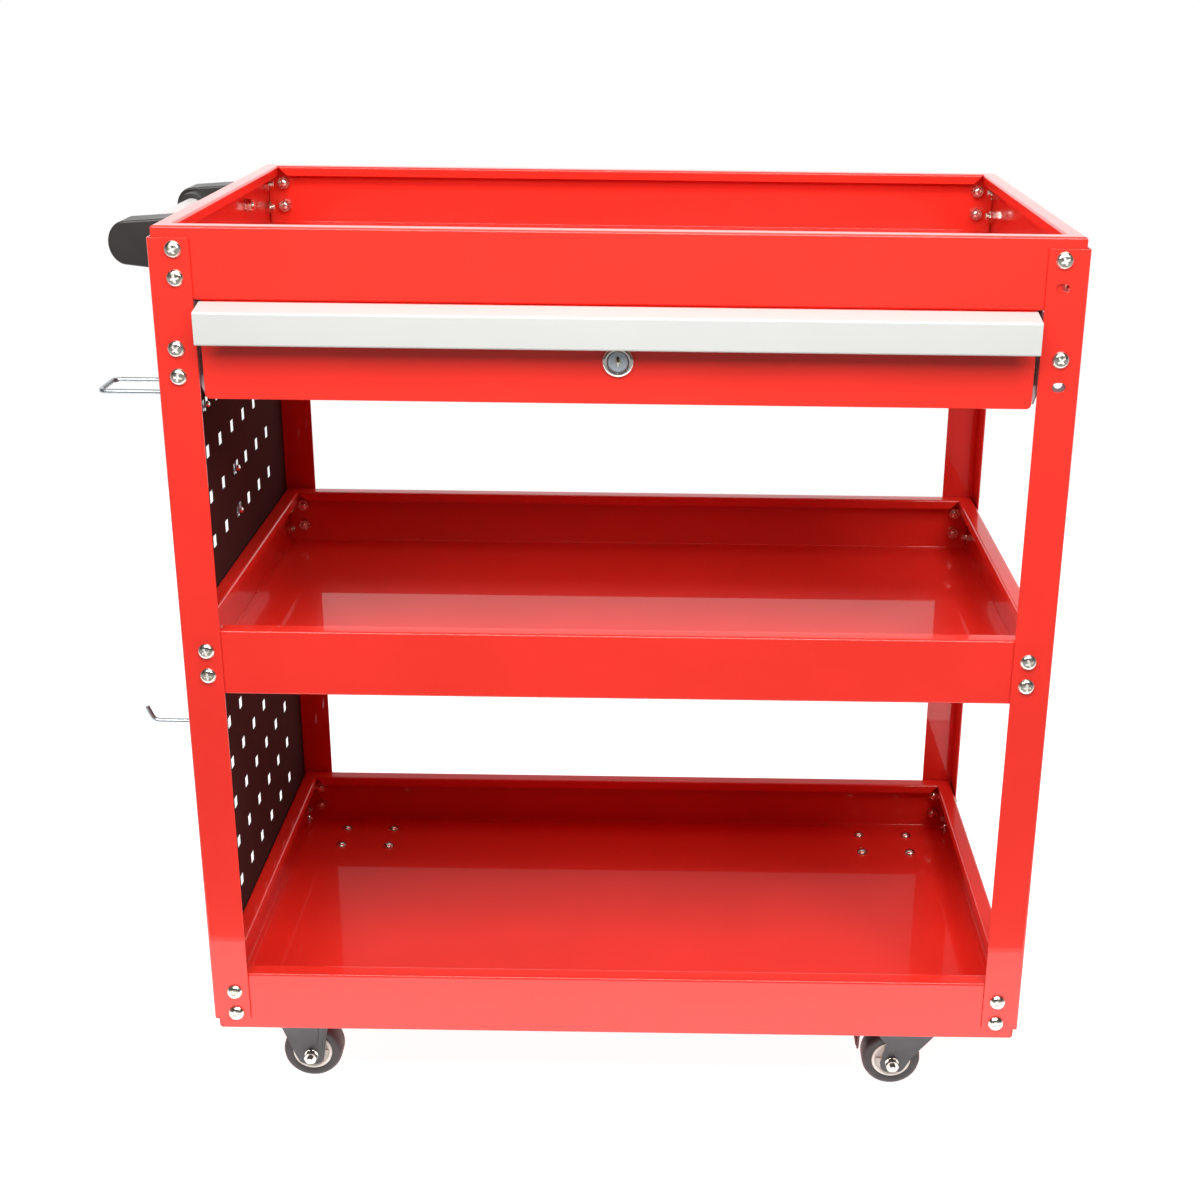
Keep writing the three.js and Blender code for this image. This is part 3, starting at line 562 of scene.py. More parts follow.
def cross_head():
    """The domed head of a pan screw with a tapered cross recess, as mesh data in millimetres."""
    mesh = bmesh.new()
    dome = [(0, 0), (HEAD_R, 0), (HEAD_R, 1.0), (5.85, 1.6), (5.45, 2.25), (4.8, 2.8), (3.9, 3.2),
            (2.7, 3.45), (1.4, 3.58), (0, 3.62)]
    add_lathe(mesh, dome, placer((0, 0, 0), (0, 0, 1)), 48)
    head = plain_object("screw_head", mesh)
    cutter = bmesh.new()
    rings = []
    for level, reach, half in ((1.2, 1.8, 0.55), (4.4, 4.3, 1.1)):
        ring = []
        for quarter in range(4):
            spin = Matrix.Rotation(math.pi / 2 * quarter, 2)
            for corner in ((reach, -half), (reach, half), (half, half)):
                ring.append(cutter.verts.new((*(spin @ Vector(corner)), level)))
        rings.append(ring)
    close_rings(cutter, rings)
    subtract(head, plain_object("cross", cutter))
    data = head.data
    bpy.data.objects.remove(head)
    return data


def cross_floor():
    """A star of four sloping facets that lies in the recess, as mesh data in millimetres."""
    mesh = bmesh.new()
    top = mesh.verts.new((0, 0, 2.2))
    ring = []
    for quarter in range(4):
        spin = Matrix.Rotation(math.pi / 2 * quarter, 2)
        for corner, level in (((3.2, -0.66), 2.8), ((3.2, 0.66), 2.8), ((0.8, 0.8), 2.5)):
            ring.append(mesh.verts.new((*(spin @ Vector(corner)), level)))
    under = mesh.verts.new((0, 0, 1.2))
    for i in range(12):
        j = (i + 1) % 12
        mesh.faces.new((ring[i], ring[j], top))
        mesh.faces.new((ring[j], ring[i], under))
    star = plain_object("recess", mesh)
    data = star.data
    bpy.data.objects.remove(star)
    return data


def stamp(mesh, template, point, axis, turn):
    """Adds a copy of mesh data that was made upright at the origin."""
    first = len(mesh.verts)
    mesh.from_mesh(template)
    mesh.verts.ensure_lookup_table()
    way = Vector(axis).to_track_quat("Z", "Y").to_matrix().to_4x4()
    spin = Matrix.Rotation(math.radians(turn), 4, "Z")
    bmesh.ops.transform(mesh, matrix=Matrix.Translation(point) @ way @ spin, verts=mesh.verts[first:])


def add_nut(mesh, point, axis, turn, height=NUT_HEIGHT, thread=THREAD_R, stick=3.2):
    """A chamfered hex nut on its screw, whose threaded end sticks out. Its flat side is at the point."""
    place = placer(point, axis, turn)
    corner = NUT_FLATS / 2 / math.cos(math.pi / 6)
    sides = 24
    rings = []
    for share, level in ((0.93, 0.0), (1.0, 0.5), (1.0, height - 0.6), (0.90, height), (0.72, height)):
        ring = []
        for i in range(sides):
            angle = 2 * math.pi * i / sides
            hexagon = NUT_FLATS / 2 / math.cos((angle + math.pi / 6) % (math.pi / 3) - math.pi / 6)
            radius = min(hexagon, corner * share)
            ring.append(mesh.verts.new(place(radius * math.cos(angle), radius * math.sin(angle), level)))
        rings.append(ring)
    close_rings(mesh, rings)
    profile = [(thread, height - 1)]
    pitch, groove = 0.5, 0.28
    level = height - 0.2
    while level < height + stick - pitch:
        profile += [(thread - groove, level + pitch / 2), (thread, level + pitch)]
        level += pitch
    profile += [(thread - 0.7, height + stick), (0, height + stick)]
    add_lathe(mesh, profile, place, 16)


def turn_of(*values):
    """A fixed, uneven angle for a fastener, so that no two sit alike."""
    return sum((i + 3) * 37.7 * abs(value) for i, value in enumerate(values)) % 90


def fasten(name, head, star, spots):
    """Screws with their nuts. A spot is (head's place, outward axis, nut's place, head's turn, nut's turn)."""
    mesh, stars = bmesh.new(), bmesh.new()
    for head_at, out, nut_at, head_turn, nut_turn in spots:
        stamp(mesh, head, head_at, out, head_turn)
        stamp(stars, star, head_at, out, head_turn)
        add_nut(mesh, nut_at, [-c for c in out], nut_turn)
    finished(mesh, f"screws_{name}", "zinc", ROOT)
    finished(stars, f"screw_recesses_{name}", "recess_zinc_painted_highlight", ROOT)


def screws_and_nuts():
    """Tray and slide screws on every leg, with their nuts inside."""
    tray_levels = [box[0].z + height for box in TRAYS.values() for height in SCREW_PAIR]
    wall_x = TRAYS["top"][1].x - TRAY_SHEET - NUT_GAP
    wall_y = TRAYS["top"][1].y - TRAY_SHEET - NUT_GAP
    tab_y = local_box("slide_carrier_left")[1].y - SHEET - NUT_GAP
    head, star = cross_head(), cross_floor()
    for end_name, end in ENDS.items():
        spots = []
        for side in SIDES.values():
            for z in tray_levels + list(SLIDE_SCREWS):
                if end < 0 < side and z in EMPTY_HOLES:
                    continue
                inset, inner = (SLIDE_SCREW_INSET, tab_y) if z in SLIDE_SCREWS else (SCREW_INSET, wall_y)
                x = side * (HALF_X - inset)
                spots.append(((x, end * HALF_Y, z), (0, end, 0), (x, end * inner, z),
                              turn_of(x, z), turn_of(z, x)))
        fasten(end_name, head, star, spots)
    for side_name, side in SIDES.items():
        spots = []
        for end in ENDS.values():
            y = end * (HALF_Y - SCREW_INSET)
            for z in tray_levels:
                spots.append(((side * HALF_X, y, z), (side, 0, 0), (side * wall_x, y, z),
                              turn_of(y, z), turn_of(z, y)))
        fasten(side_name, head, star, spots)


def caster_bolts():
    """Domed bolts through the bottom tray's floor, with thin nuts under the caster plates."""
    under = TRAYS["bottom"][0].z
    plate_under = under - 2.6
    mesh = bmesh.new()
    dome = [(5.6, 0.0), (5.6, 0.5), (5.0, 1.7), (3.9, 2.7), (2.2, 3.3), (0, 3.45)]
    for side in SIDES.values():
        for end in ENDS.values():
            for sx in (-1, 1):
                for sy in (-1, 1):
                    x = side * CASTER_X + sx * CASTER_BOLTS[0] / 2
                    y = end * CASTER_Y + sy * CASTER_BOLTS[1] / 2
                    add_lathe(mesh, dome, placer((x, y, under + TRAY_SHEET), (0, 0, 1)), 24)
                    add_nut(mesh, (x, y, plate_under), (0, 0, -1), turn_of(x, y), height=3.0, stick=0.4)
    finished(mesh, "caster_bolts", "zinc", ROOT)


# ---- legs and trays

def legs():
    """Four angles with a rounded outer fold. The right front one has two empty slots."""
    slot_drift = 0.4
    for end_name, end in ENDS.items():
        for side_name, side in SIDES.items():
            node = f"leg_{end_name}_{side_name}"
            low, high = local_box(node)
            half = LEG_SHEET / 2
            flange = high.x - low.x
            corners = [(half, flange), (half, half), (flange, half)]

            def place(u, w, way):
                return side * (HALF_X - u), end * (HALF_Y - w), low.z if way < 0 else high.z
            mesh = bmesh.new()
            add_sheet(mesh, corners, LEG_SHEET, place)
            leg = finished(mesh, node + "_angle", "red_paint", ROOT)
            if end < 0 < side:
                for z, inset in zip(EMPTY_HOLES, (SCREW_INSET, SLIDE_SCREW_INSET)):
                    cut_slot(leg, (side * (HALF_X - inset + slot_drift), end * HALF_Y, z))
            add_bevel(leg, 0.25)
            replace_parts(leg, node)


def tray(name):
    """A folded pan with mitred rims, a hanging lip and open corner slits.

    The top tray's hole stands a little aside of the empty slot of the leg before it.
    """
    low, high = TRAYS[name]
    height = high.z - low.z
    sizes = (high.x - low.x, high.y - low.y)
    half = TRAY_SHEET / 2
    floor_edge = 6.0        # the part of the floor that is folded with each wall
    notch = 1.4             # the mitre's start at the floor's corners
    overlap = 0.02
    corners = [(floor_edge, half), (half, half), (half, height - half), (RIM - half, height - half),
               (RIM - half, height - LIP)]
    slit = 0.35
    mesh = bmesh.new()
    for quarter in range(4):
        along, across = sizes if quarter % 2 == 0 else sizes[::-1]
        spin = Matrix.Rotation(math.pi / 2 * quarter, 3, "Z")

        def place(u, w, end, along=along, across=across, spin=spin):
            rim = max(u - half, 0) if w > height / 2 else 0
            drop = height - w if rim > half else 0
            bottom = max(u, notch) if w < 4 else 0
            reach = along / 2 - slit - max(rim + max(drop - half, 0), bottom)
            return spin @ Vector((end * reach, -across / 2 + u, w)) + Vector((0, 0, low.z))
        add_sheet(mesh, corners, TRAY_SHEET, place)
    inset = floor_edge - overlap
    add_box(mesh, (low.x + inset, low.y + inset, low.z + overlap),
            (high.x - inset, high.y - inset, low.z + TRAY_SHEET - overlap))
    pan = finished(mesh, name + "_tray_pan", "red_paint", ROOT)
    if name == "top":
        hole_x, hole_z = HALF_X - SCREW_INSET + 3.6, EMPTY_HOLES[0] + 0.8
        drill(pan, [((hole_x, low.y, hole_z), (0, 1, 0), HOLE_R, 3)])
    add_bevel(pan, 0.12, 1)
    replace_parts(pan, name + "_tray")


# ---- end panels and hooks

def reuse(node, finish, bevel=0.0, segments=2):
    """Keeps a CAD node and gives it a finish and rounded edges."""
    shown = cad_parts[node]
    shown.data.materials.clear()
    shown.data.materials.append(MATERIALS[finish])
    if bevel:
        add_bevel(shown, bevel, segments)
    keep_flats(shown)


def hook(node, loop=False):
    """A plate with two tabs through the panel, and its welded wire: a level loop, or a rod with a raised tip."""
    low, high = local_box(node)
    panel = local_box("pegboard_upper")
    outer, inner = panel[0].x, panel[1].x
    half_plate, thick = 4.5, 1.5
    y = (low.y + high.y) / 2 if loop else high.y - half_plate
    face = outer - 0.3
    back = face - thick
    rows = (low.z + TAB_INSET, low.z + TAB_INSET + TAB_PITCH)
    mesh, ends = bmesh.new(), bmesh.new()
    add_box(mesh, (back, y - half_plate, low.z), (face, y + half_plate, high.z - 0.05))
    for row in rows:
        corners = [(face - thick / 2, row - 1), (inner + 1.0, row - 1), (inner + 1.0, row + 8)]
        add_sheet(mesh, corners, thick, lambda u, w, end: (u, y + end * 3, w), radius=1.2)
        add_lathe(ends, [(0, 0), (2.2, 0), (2.8, 0.9), (2.6, 2.2), (1.6, 3.1), (0, 3.4)],
                  placer((inner + 0.8, y, row + 1), (1, 0, 0)), 24)
    finished(ends, node + "_tab_ends", "chrome", ROOT)
    wire_z = rows[0] + TAB_PITCH / 2
    tip = low.x + 2
    if loop:
        half, wire_z, wire_x = 19, wire_z - 3.5, back - 1.2
        corners = [(wire_x, y - 1, wire_z), (wire_x, y - half, wire_z), (tip, y - half, wire_z),
                   (tip, y + half, wire_z), (wire_x, y + half, wire_z), (wire_x, y + 1, wire_z)]
        add_wire(mesh, corners, 7)
    else:
        corners = [(face - 0.7, y, wire_z), (tip + 6, y, wire_z), (tip + 0.6, y, wire_z + 13)]
        add_wire(mesh, corners, 5)
    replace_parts(finished(mesh, node + "_wire", "wire_zinc", ROOT, bevel=0.2), node)


def end_panels():
    for name in ("upper", "lower"):
        reuse(f"pegboard_{name}", "black_paint", 0.2, 1)
    hook("hook_loop", loop=True)
    hook("hook_short")
    hook("hook_long")


# ---- push handle

def bracket_outline(low, high):
    """The front view of a handle bracket: taller at the tray, with a rounded nose."""
    nose_low, nose_high, nose_length = low.z + 4.5, high.z - 3.0, 13.5
    middle, half = (nose_low + nose_high) / 2, (nose_high - nose_low) / 2
    outline = [(high.x, high.z)]
    for a, b in arc((0, 0), 1, 90, 180, 28):
        outline.append((low.x + nose_length * (1 + a), middle + half * b))
    return outline + [(high.x, low.z)]


def handle():
    """Two moulded brackets with tapering collars, and the coated tube between them."""
    tube_low, tube_high = local_box("handle_tube")
    axis_x, axis_z = (tube_low.x + tube_high.x) / 2, (tube_low.z + tube_high.z) / 2
    outer = (tube_high.x - tube_low.x) / 2
    for end_name, end in ENDS.items():
        node = f"handle_bracket_{end_name}"
        low, high = local_box(node)
        mouth, far = (high.y, low.y) if end < 0 else (low.y, high.y)
        shoulder = mouth + end * BRACKET_COLLAR
        mesh = bmesh.new()
        add_prism(mesh, bracket_outline(low, high), upright, *sorted((shoulder, far)))
        bracket = finished(mesh, node + "_moulding", "black_plastic", ROOT)
        bore = outer + TUBE_GAP
        drill(bracket, [((axis_x, shoulder, axis_z), (0, 1, 0), bore, 12)])
        add_bevel(bracket, 1.3, 3)
        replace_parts(bracket, node)
        collar = bmesh.new()
        depth = BRACKET_COLLAR
        profile = [(bore, -0.4), (bore, depth - 0.6), (outer + 0.9, depth), (12.6, depth),
                   (13.3, depth - 0.7), (13.5, depth - 4), (14.0, 2.5), (15.6, -0.4)]
        add_lathe(collar, profile, placer((axis_x, shoulder, axis_z), (0, -end, 0)), 56, closed=True)
        finished(collar, f"handle_collar_{end_name}", "black_plastic", ROOT)
        handle_bolt(end_name)
    mesh = bmesh.new()
    inside, chamfer = outer - 1.5, 0.3
    profile = [(inside, tube_low.y), (outer - chamfer, tube_low.y), (outer, tube_low.y + chamfer),
               (outer, tube_high.y - chamfer), (outer - chamfer, tube_high.y), (inside, tube_high.y)]
    add_lathe(mesh, profile, placer((axis_x, 0, axis_z), (0, 1, 0)), 64, closed=True)
    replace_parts(finished(mesh, "handle_tube_coated", "grey_tube", ROOT), "handle_tube")


def handle_bolt(end_name):
    """The bolt's nut inside the top tray, on a plain washer."""
    node = f"handle_bolt_{end_name}"
    low, high = local_box(node)
    y, z = (low.y + high.y) / 2, (low.z + high.z) / 2
    wall = TRAYS["top"][0].x + TRAY_SHEET
    washer = 0.9
    mesh = bmesh.new()
    add_lathe(mesh, [(3.2, 0), (6.0, 0), (6.0, washer), (3.2, washer)],
              placer((wall, y, z), (1, 0, 0)), 32, closed=True)
    add_nut(mesh, (wall + washer + NUT_GAP, y, z), (1, 0, 0), turn_of(y, z), stick=2.0)
    add_lathe(mesh, [(0, 0), (THREAD_R, 0), (THREAD_R, 15), (0, 15)], placer((low.x, y, z), (1, 0, 0)), 20)
    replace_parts(finished(mesh, node + "_threaded", "zinc", ROOT), node)


# ---- drawer

def drawer():
    """The drawer front's pan, its pull, the box behind it and the slides."""
    low, high = local_box("drawer_front")
    round_low, round_high = 3.8, 2.0
    outline = arc((low.x + round_low, low.z + round_low), round_low, 180, 90, 8)
    outline += arc((high.x - round_low, low.z + round_low), round_low, 270, 90, 8)
    outline += arc((high.x - round_high, high.z - round_high), round_high, 0, 90, 4)
    outline += arc((low.x + round_high, high.z - round_high), round_high, 90, 90, 4)
    depth = high.y - low.y
    edge = 1.2              # the rounding of the pan's front edge, and the fold behind it
    mesh = bmesh.new()
    centre = Vector(((low.x + high.x) / 2, (low.z + high.z) / 2))
    rings = []
    for inward, inset in ((depth, edge), (depth, 0), (edge, 0), (0.35, 0.35), (0, edge)):
        ring = []
        for a, b in outline:
            span = Vector((a, b)) - centre
            shift = Vector((math.copysign(min(inset, abs(span.x)), span.x),
                            math.copysign(min(inset, abs(span.y)), span.y)))
            ring.append(mesh.verts.new((a - shift.x, low.y + inward, b - shift.y)))
        rings.append(ring)
    join_rings(mesh, rings)
    mesh.faces.new(rings[-1])
    front = finished(mesh, "drawer_front_pan", "red_paint", "drawer")
    shell = front.modifiers.new("sheet", "SOLIDIFY")
    shell.thickness = SHEET * MM
    shell.offset = -1
    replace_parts(front, "drawer_front")
    pull_strip()
    reuse("drawer_box", "red_paint", 0.3)
    for name, side in SIDES.items():
        slide_carrier(name, side)
        reuse(f"slide_channel_{name}", "zinc", 0.25)
        reuse(f"slide_runner_{name}", "zinc", 0.25)
    reuse("lock_strike", "zinc_painted_red_reflection", 0.2)


def slide_carrier(name, side):
    """A folded channel between two legs, with the screw holes a little off those of the legs."""
    node = f"slide_carrier_{name}"
    low, high = local_box(node)
    half = SHEET / 2
    web = min(abs(low.x), abs(high.x)) + half
    tab = max(abs(low.x), abs(high.x))
    corners = [(tab, low.y + half), (web, low.y + half), (web, high.y - half), (tab, high.y - half)]
    mesh = bmesh.new()
    add_sheet(mesh, corners, SHEET, lambda u, w, end: (side * u, w, low.z if end < 0 else high.z))
    # The carrier's mauve tint is a painted red reflection on grey zinc.
    carrier = finished(mesh, node + "_folded", "zinc_painted_red_reflection", ROOT)
    chamfer, past = 10, 1
    corner = bmesh.new()
    for y, sign in ((low.y, -1), (high.y, 1)):
        outline = [(y + sign * past, low.z - past), (y + sign * past, low.z + chamfer),
                   (y - sign * chamfer, low.z - past)]
        reach = sorted((side * (web - 3), side * (web + 3)))
        add_prism(corner, outline, lambda a, b, x: (x, a, b), *reach)
    cut(carrier, corner)
    x = side * (HALF_X - SLIDE_SCREW_INSET)
    drop = 2.2
    drill(carrier, [((x, low.y, z + drop), (0, 1, 0), HOLE_R, 3) for z in SLIDE_SCREWS])
    add_bevel(carrier, 0.2)
    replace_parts(carrier, node)


def pull_strip():
    """A folded strip whose top falls to the front, with a hanging front and a small return under it."""
    low, high = local_box("drawer_pull")
    half = SHEET / 2
    lip, flange, slope = 5.0, 14.0, 4.1
    corners = [(high.y - half, high.z - flange), (high.y - half, high.z - half),
               (low.y + half, high.z - half - slope), (low.y + half, low.z + half),
               (low.y + lip, low.z + half)]
    mesh = bmesh.new()
    add_sheet(mesh, corners, SHEET, lambda u, w, end: (low.x if end < 0 else high.x, u, w), radius=1.3)
    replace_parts(finished(mesh, "drawer_pull_strip", "white_paint", "drawer", bevel=0.15), "drawer_pull")


def lock():
    """The lock's bright body with its rounded bezel, and the nut and cam behind the front."""
    low, high = local_box("lock_body")
    length = high.y - low.y
    seat = 3.0
    bezel = [(7.8, 0.9), (8.2, 0.25), (8.9, 0.0), (9.6, 0.05), (10.9, 0.9), (11.6, 2.1), (11.6, seat),
             (8.7, seat), (8.7, length), (7.8, length)]
    mesh = bmesh.new()
    add_lathe(mesh, bezel, placer((0, low.y, LOCK_Z), (0, 1, 0)), 72, closed=True)
    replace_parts(finished(mesh, "lock_bezel", "chrome", "drawer"), "lock_body")
    reuse("lock_nut", "zinc", 0.3)
    reuse("lock_cam", "zinc", 0.25)
    plug()


def plug():
    """The turning plug with its keyway, brass cheeks and spring shutter."""
    low, high = local_box("lock_plug")
    length = high.y - low.y
    mesh = bmesh.new()
    profile = [(0, 0.25), (6.9, 0.25), (7.4, 0.7), (7.4, 22), (3.6, 22), (3.6, length), (0, length)]
    add_lathe(mesh, profile, placer((0, low.y, LOCK_Z), (0, 1, 0)), 64)
    body = finished(mesh, "lock_plug_face", "plug_zinc", "lock")
    keyway = [(-0.5, -4.3), (0.5, -4.3), (1.5, -1.4), (1.9, 0.9), (0.7, 4.2), (-0.7, 4.2), (-1.9, 0.9),
              (-1.5, -1.4)]
    cut(body, in_keyway([keyway], -1, 5))
    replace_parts(body, "lock_plug")
    cheeks = [[(side * 1.9, -2.6), (side * 2.1, 1.8), (side * 0.9, 1.8), (side * 0.8, -2.6)]
              for side in (-1, 1)]
    finished(in_keyway(cheeks, 1.2, 4.8), "lock_keyway_cheeks", "brass", "lock")
    shutter = [(-0.5, -4.1), (0.5, -4.1), (1.2, -1.6), (1.4, -0.4), (-1.4, -0.4), (-1.2, -1.6)]
    # The shutter's pale metal is a painted highlight.
    finished(in_keyway([shutter], 0.7, 4.6), "lock_shutter", "recess_zinc_painted_highlight", "lock", bevel=0.15)
    # A dark block in the keyway's upper part: painted shade where the deep keyway gets no light.
    well = [(-1.6, -0.2), (1.6, -0.2), (0.6, 4.0), (-0.6, 4.0)]
    finished(in_keyway([well], 1.4, 4.8), "lock_keyway_painted_shade", "rubber", "lock")


def in_keyway(outlines, near, far):
    """A mesh of upright outlines about the lock's axis, between two depths behind the plug's face."""
    face = local_box("lock_plug")[0].y
    mesh = bmesh.new()
    for outline in outlines:
        add_prism(mesh, [(a, LOCK_Z + b) for a, b in outline], upright, face + near, face + far)
    return mesh


# ---- casters

def round_outline(corners, steps=5):
    """A closed outline from (a, b, radius) corners, each rounded by its own radius."""
    outline = []
    count = len(corners)
    for i, (a, b, radius) in enumerate(corners):
        here = Vector((a, b))
        before = (Vector(corners[i - 1][:2]) - here).normalized()
        after = (Vector(corners[(i + 1) % count][:2]) - here).normalized()
        angle = before.angle(after)
        if radius == 0:
            outline.append(tuple(here))
            continue
        back = radius / math.tan(angle / 2)
        centre = here + (before + after).normalized() * radius / math.sin(angle / 2)
        start = here + before * back - centre
        turn = start.angle_signed(here + after * back - centre)
        for k in range(steps + 1):
            outline.append(tuple(centre + Matrix.Rotation(-turn * k / steps, 2) @ start))
    return outline


def add_blades(mesh, corners, centre):
    """Two equal pressed blades, either side of the wheel."""
    for sign in (-1, 1):
        low, high = sorted((sign * BLADE_INNER, sign * (BLADE_INNER + BLADE)))
        add_prism(mesh, round_outline(corners), lambda a, b, y: (centre[0] + a, centre[1] + y, b), low, high)


def caster_plate(mesh, centre, top):
    half_x, half_y, radius = 31, 24, 5
    corners = [(-half_x, -half_y, radius), (half_x, -half_y, radius), (half_x, half_y, radius),
               (-half_x, half_y, radius)]
    add_prism(mesh, round_outline(corners), lambda a, b, z: (centre[0] + a, centre[1] + b, z),
              top - CASTER_PLATE, top)


def wheel(place_name, body, centre):
    """A dark tyre with a rounded tread on a cream hub with a raised boss."""
    axle = placer((centre[0], centre[1], WHEEL_R), (0, 1, 0))
    tyre = bmesh.new()
    profile = [(16.9, 10.0), (17.6, 10.3), (20.0, 10.7), (22.2, 10.2), (23.9, 8.9), (24.8, 6.6),
               (WHEEL_R, 3.5), (WHEEL_R, 0)]
    profile += [(r, -h) for r, h in profile[-2::-1]]
    add_lathe(tyre, profile, axle, 88, closed=True)
    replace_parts(finished(tyre, f"tyre_{place_name}_moulded", "rubber", body), f"tyre_{place_name}")
    hub = bmesh.new()
    face = [(4.3, 11.4), (6.6, 11.4), (7.1, 10.9), (7.4, 8.2), (8.6, 7.6), (12.6, 7.6), (13.4, 8.1),
            (13.9, 9.6), (14.6, 10.1), (16.4, 10.0), (16.8, 9.5)]
    profile = face + [(r, -h) for r, h in reversed(face)]
    add_lathe(hub, profile, axle, 72, closed=True)
    add_ribs(hub, axle)
    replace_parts(finished(hub, f"hub_{place_name}_moulded", "hub_cream", body), f"hub_{place_name}")


def add_ribs(mesh, place):
    """Six low radial ribs on each side of the hub's recessed web."""
    inner, outer, half_width, low, high = 7, 13.4, 0.7, 7.2, 9.0
    for i in range(6):
        angle = math.pi / 3 * i
        way = Vector((math.cos(angle), math.sin(angle)))
        side = Vector((-way.y, way.x)) * half_width
        corners = [way * inner - side, way * outer - side, way * outer + side, way * inner + side]
        for sign in (-1, 1):
            add_prism(mesh, corners, place, sign * low, sign * high)


def axle_hardware(place_name, body, centre):
    """The bolt's hexagon head behind the fork, and a bright nut on its threaded end in front."""
    front = (centre[0], centre[1] - AXLE_HALF, WHEEL_R)
    rear = (centre[0], centre[1] + AXLE_HALF, WHEEL_R)
    washer = 0.9
    mesh = bmesh.new()
    profile = [(3.2, 0), (5.8, 0), (5.8, washer), (3.2, washer)]
    add_lathe(mesh, profile, placer(front, (0, -1, 0)), 36, closed=True)
    add_nut(mesh, (front[0], front[1] - washer, front[2]), (0, -1, 0), 30, stick=2.8)
    add_nut(mesh, rear, (0, 1, 0), 12, height=4.0, thread=2.6, stick=0.1)
    shank = [(0, 0), (3.9, 0), (3.9, 2 * AXLE_HALF), (0, 2 * AXLE_HALF)]
    add_lathe(mesh, shank, placer(front, (0, 1, 0)), 24)
    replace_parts(finished(mesh, f"axle_bolt_{place_name}_threaded", "chrome", body), f"axle_bolt_{place_name}")


def fixed_caster(place_name, centre, top):
    """A rigid fork: its blades fold down from the plate, have two raised folds, and round off at the axle."""
    under = top - 1.0
    blade = [(-31, under, 0), (-24.5, 52.5, 6), (-13.6, 24.0, 6), (-9.5, 15.3, 6.5), (9.5, 15.3, 6.5),
             (11.5, 29.0, 8), (14.5, 50.0, 10), (22, under, 0)]
    mesh = bmesh.new()
    caster_plate(mesh, centre, top)
    add_blades(mesh, blade, centre)
    edge_fold = [(11.0, 30), (13.2, 51), (15.6, under), (13.6, under), (11.4, 51), (9.2, 30)]
    inner_fold = [(5.6, 33), (7.6, 51), (9.0, under), (7.6, under), (6.4, 51), (4.4, 33)]
    fold_inner, fold_outer = 13.8, 15.2
    for fold in (edge_fold, inner_fold):
        for sign in (-1, 1):
            near, far = sorted((sign * fold_inner, sign * fold_outer))
            add_prism(mesh, fold, lambda a, b, y: (centre[0] + a, centre[1] + y, b), near, far)
    fork = finished(mesh, f"fixed_fork_{place_name}_pressed", "fork_paint", ROOT, bevel=0.5)
    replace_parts(fork, f"fixed_fork_{place_name}")


def swivel_caster(place_name, end_name, centre, top):
    """A plate with a ball race, a trailing fork under it, and the brake pedal behind."""
    mesh = bmesh.new()
    caster_plate(mesh, centre, top)
    axis = placer((centre[0], centre[1], 0), (0, 0, 1))
    race = [(5.0, top - 1), (18.5, top - 1), (18.5, 66.6), (17.2, 65.2), (17.2, 63.9), (5.0, 63.9)]
    add_lathe(mesh, race, axis, 56, closed=True)
    plate = finished(mesh, f"swivel_plate_{place_name}_pressed", "zinc", ROOT, bevel=0.4)
    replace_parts(plate, f"swivel_plate_{place_name}")
    rivet = bmesh.new()
    add_lathe(rivet, [(0, 58.3), (4.6, 58.4), (6.6, 59.2), (7.0, 60.4), (7.0, 60.6), (4.6, 60.7),
                      (4.6, 69.4), (0, 69.4)], axis, 40)
    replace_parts(finished(rivet, f"kingpin_{place_name}_rivet", "zinc", ROOT), f"kingpin_{place_name}")
    body = f"swivel_{end_name}"
    fork = bmesh.new()
    crown_top, crown_under = 63.1, 60.9
    crown = [(5.0, crown_under), (19.2, crown_under), (20.0, 61.6), (19.6, crown_top - 0.3),
             (18.6, crown_top), (5.0, crown_top)]
    add_lathe(fork, crown, axis, 56, closed=True)
    reach = 14.2
    for low_x, high_x in ((-38, -6), (6, 14)):
        add_box(fork, (centre[0] + low_x, centre[1] - reach, crown_under),
                (centre[0] + high_x, centre[1] + reach, crown_top))
    blade = [(-38, crown_top, 0), (-38, 51, 4), (-31, 42.5, 4), (-35.8, 24, 5), (-35.3, 15.5, 6.5),
             (-17, 15.3, 7), (-8.5, 31, 6), (7, 49.5, 6), (17, crown_top, 0)]
    add_blades(fork, blade, centre)
    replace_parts(finished(fork, f"swivel_fork_{place_name}_pressed", "fork_paint", body, bevel=0.4),
                f"swivel_fork_{place_name}")
    pedal(place_name, f"brake_{end_name}", centre)


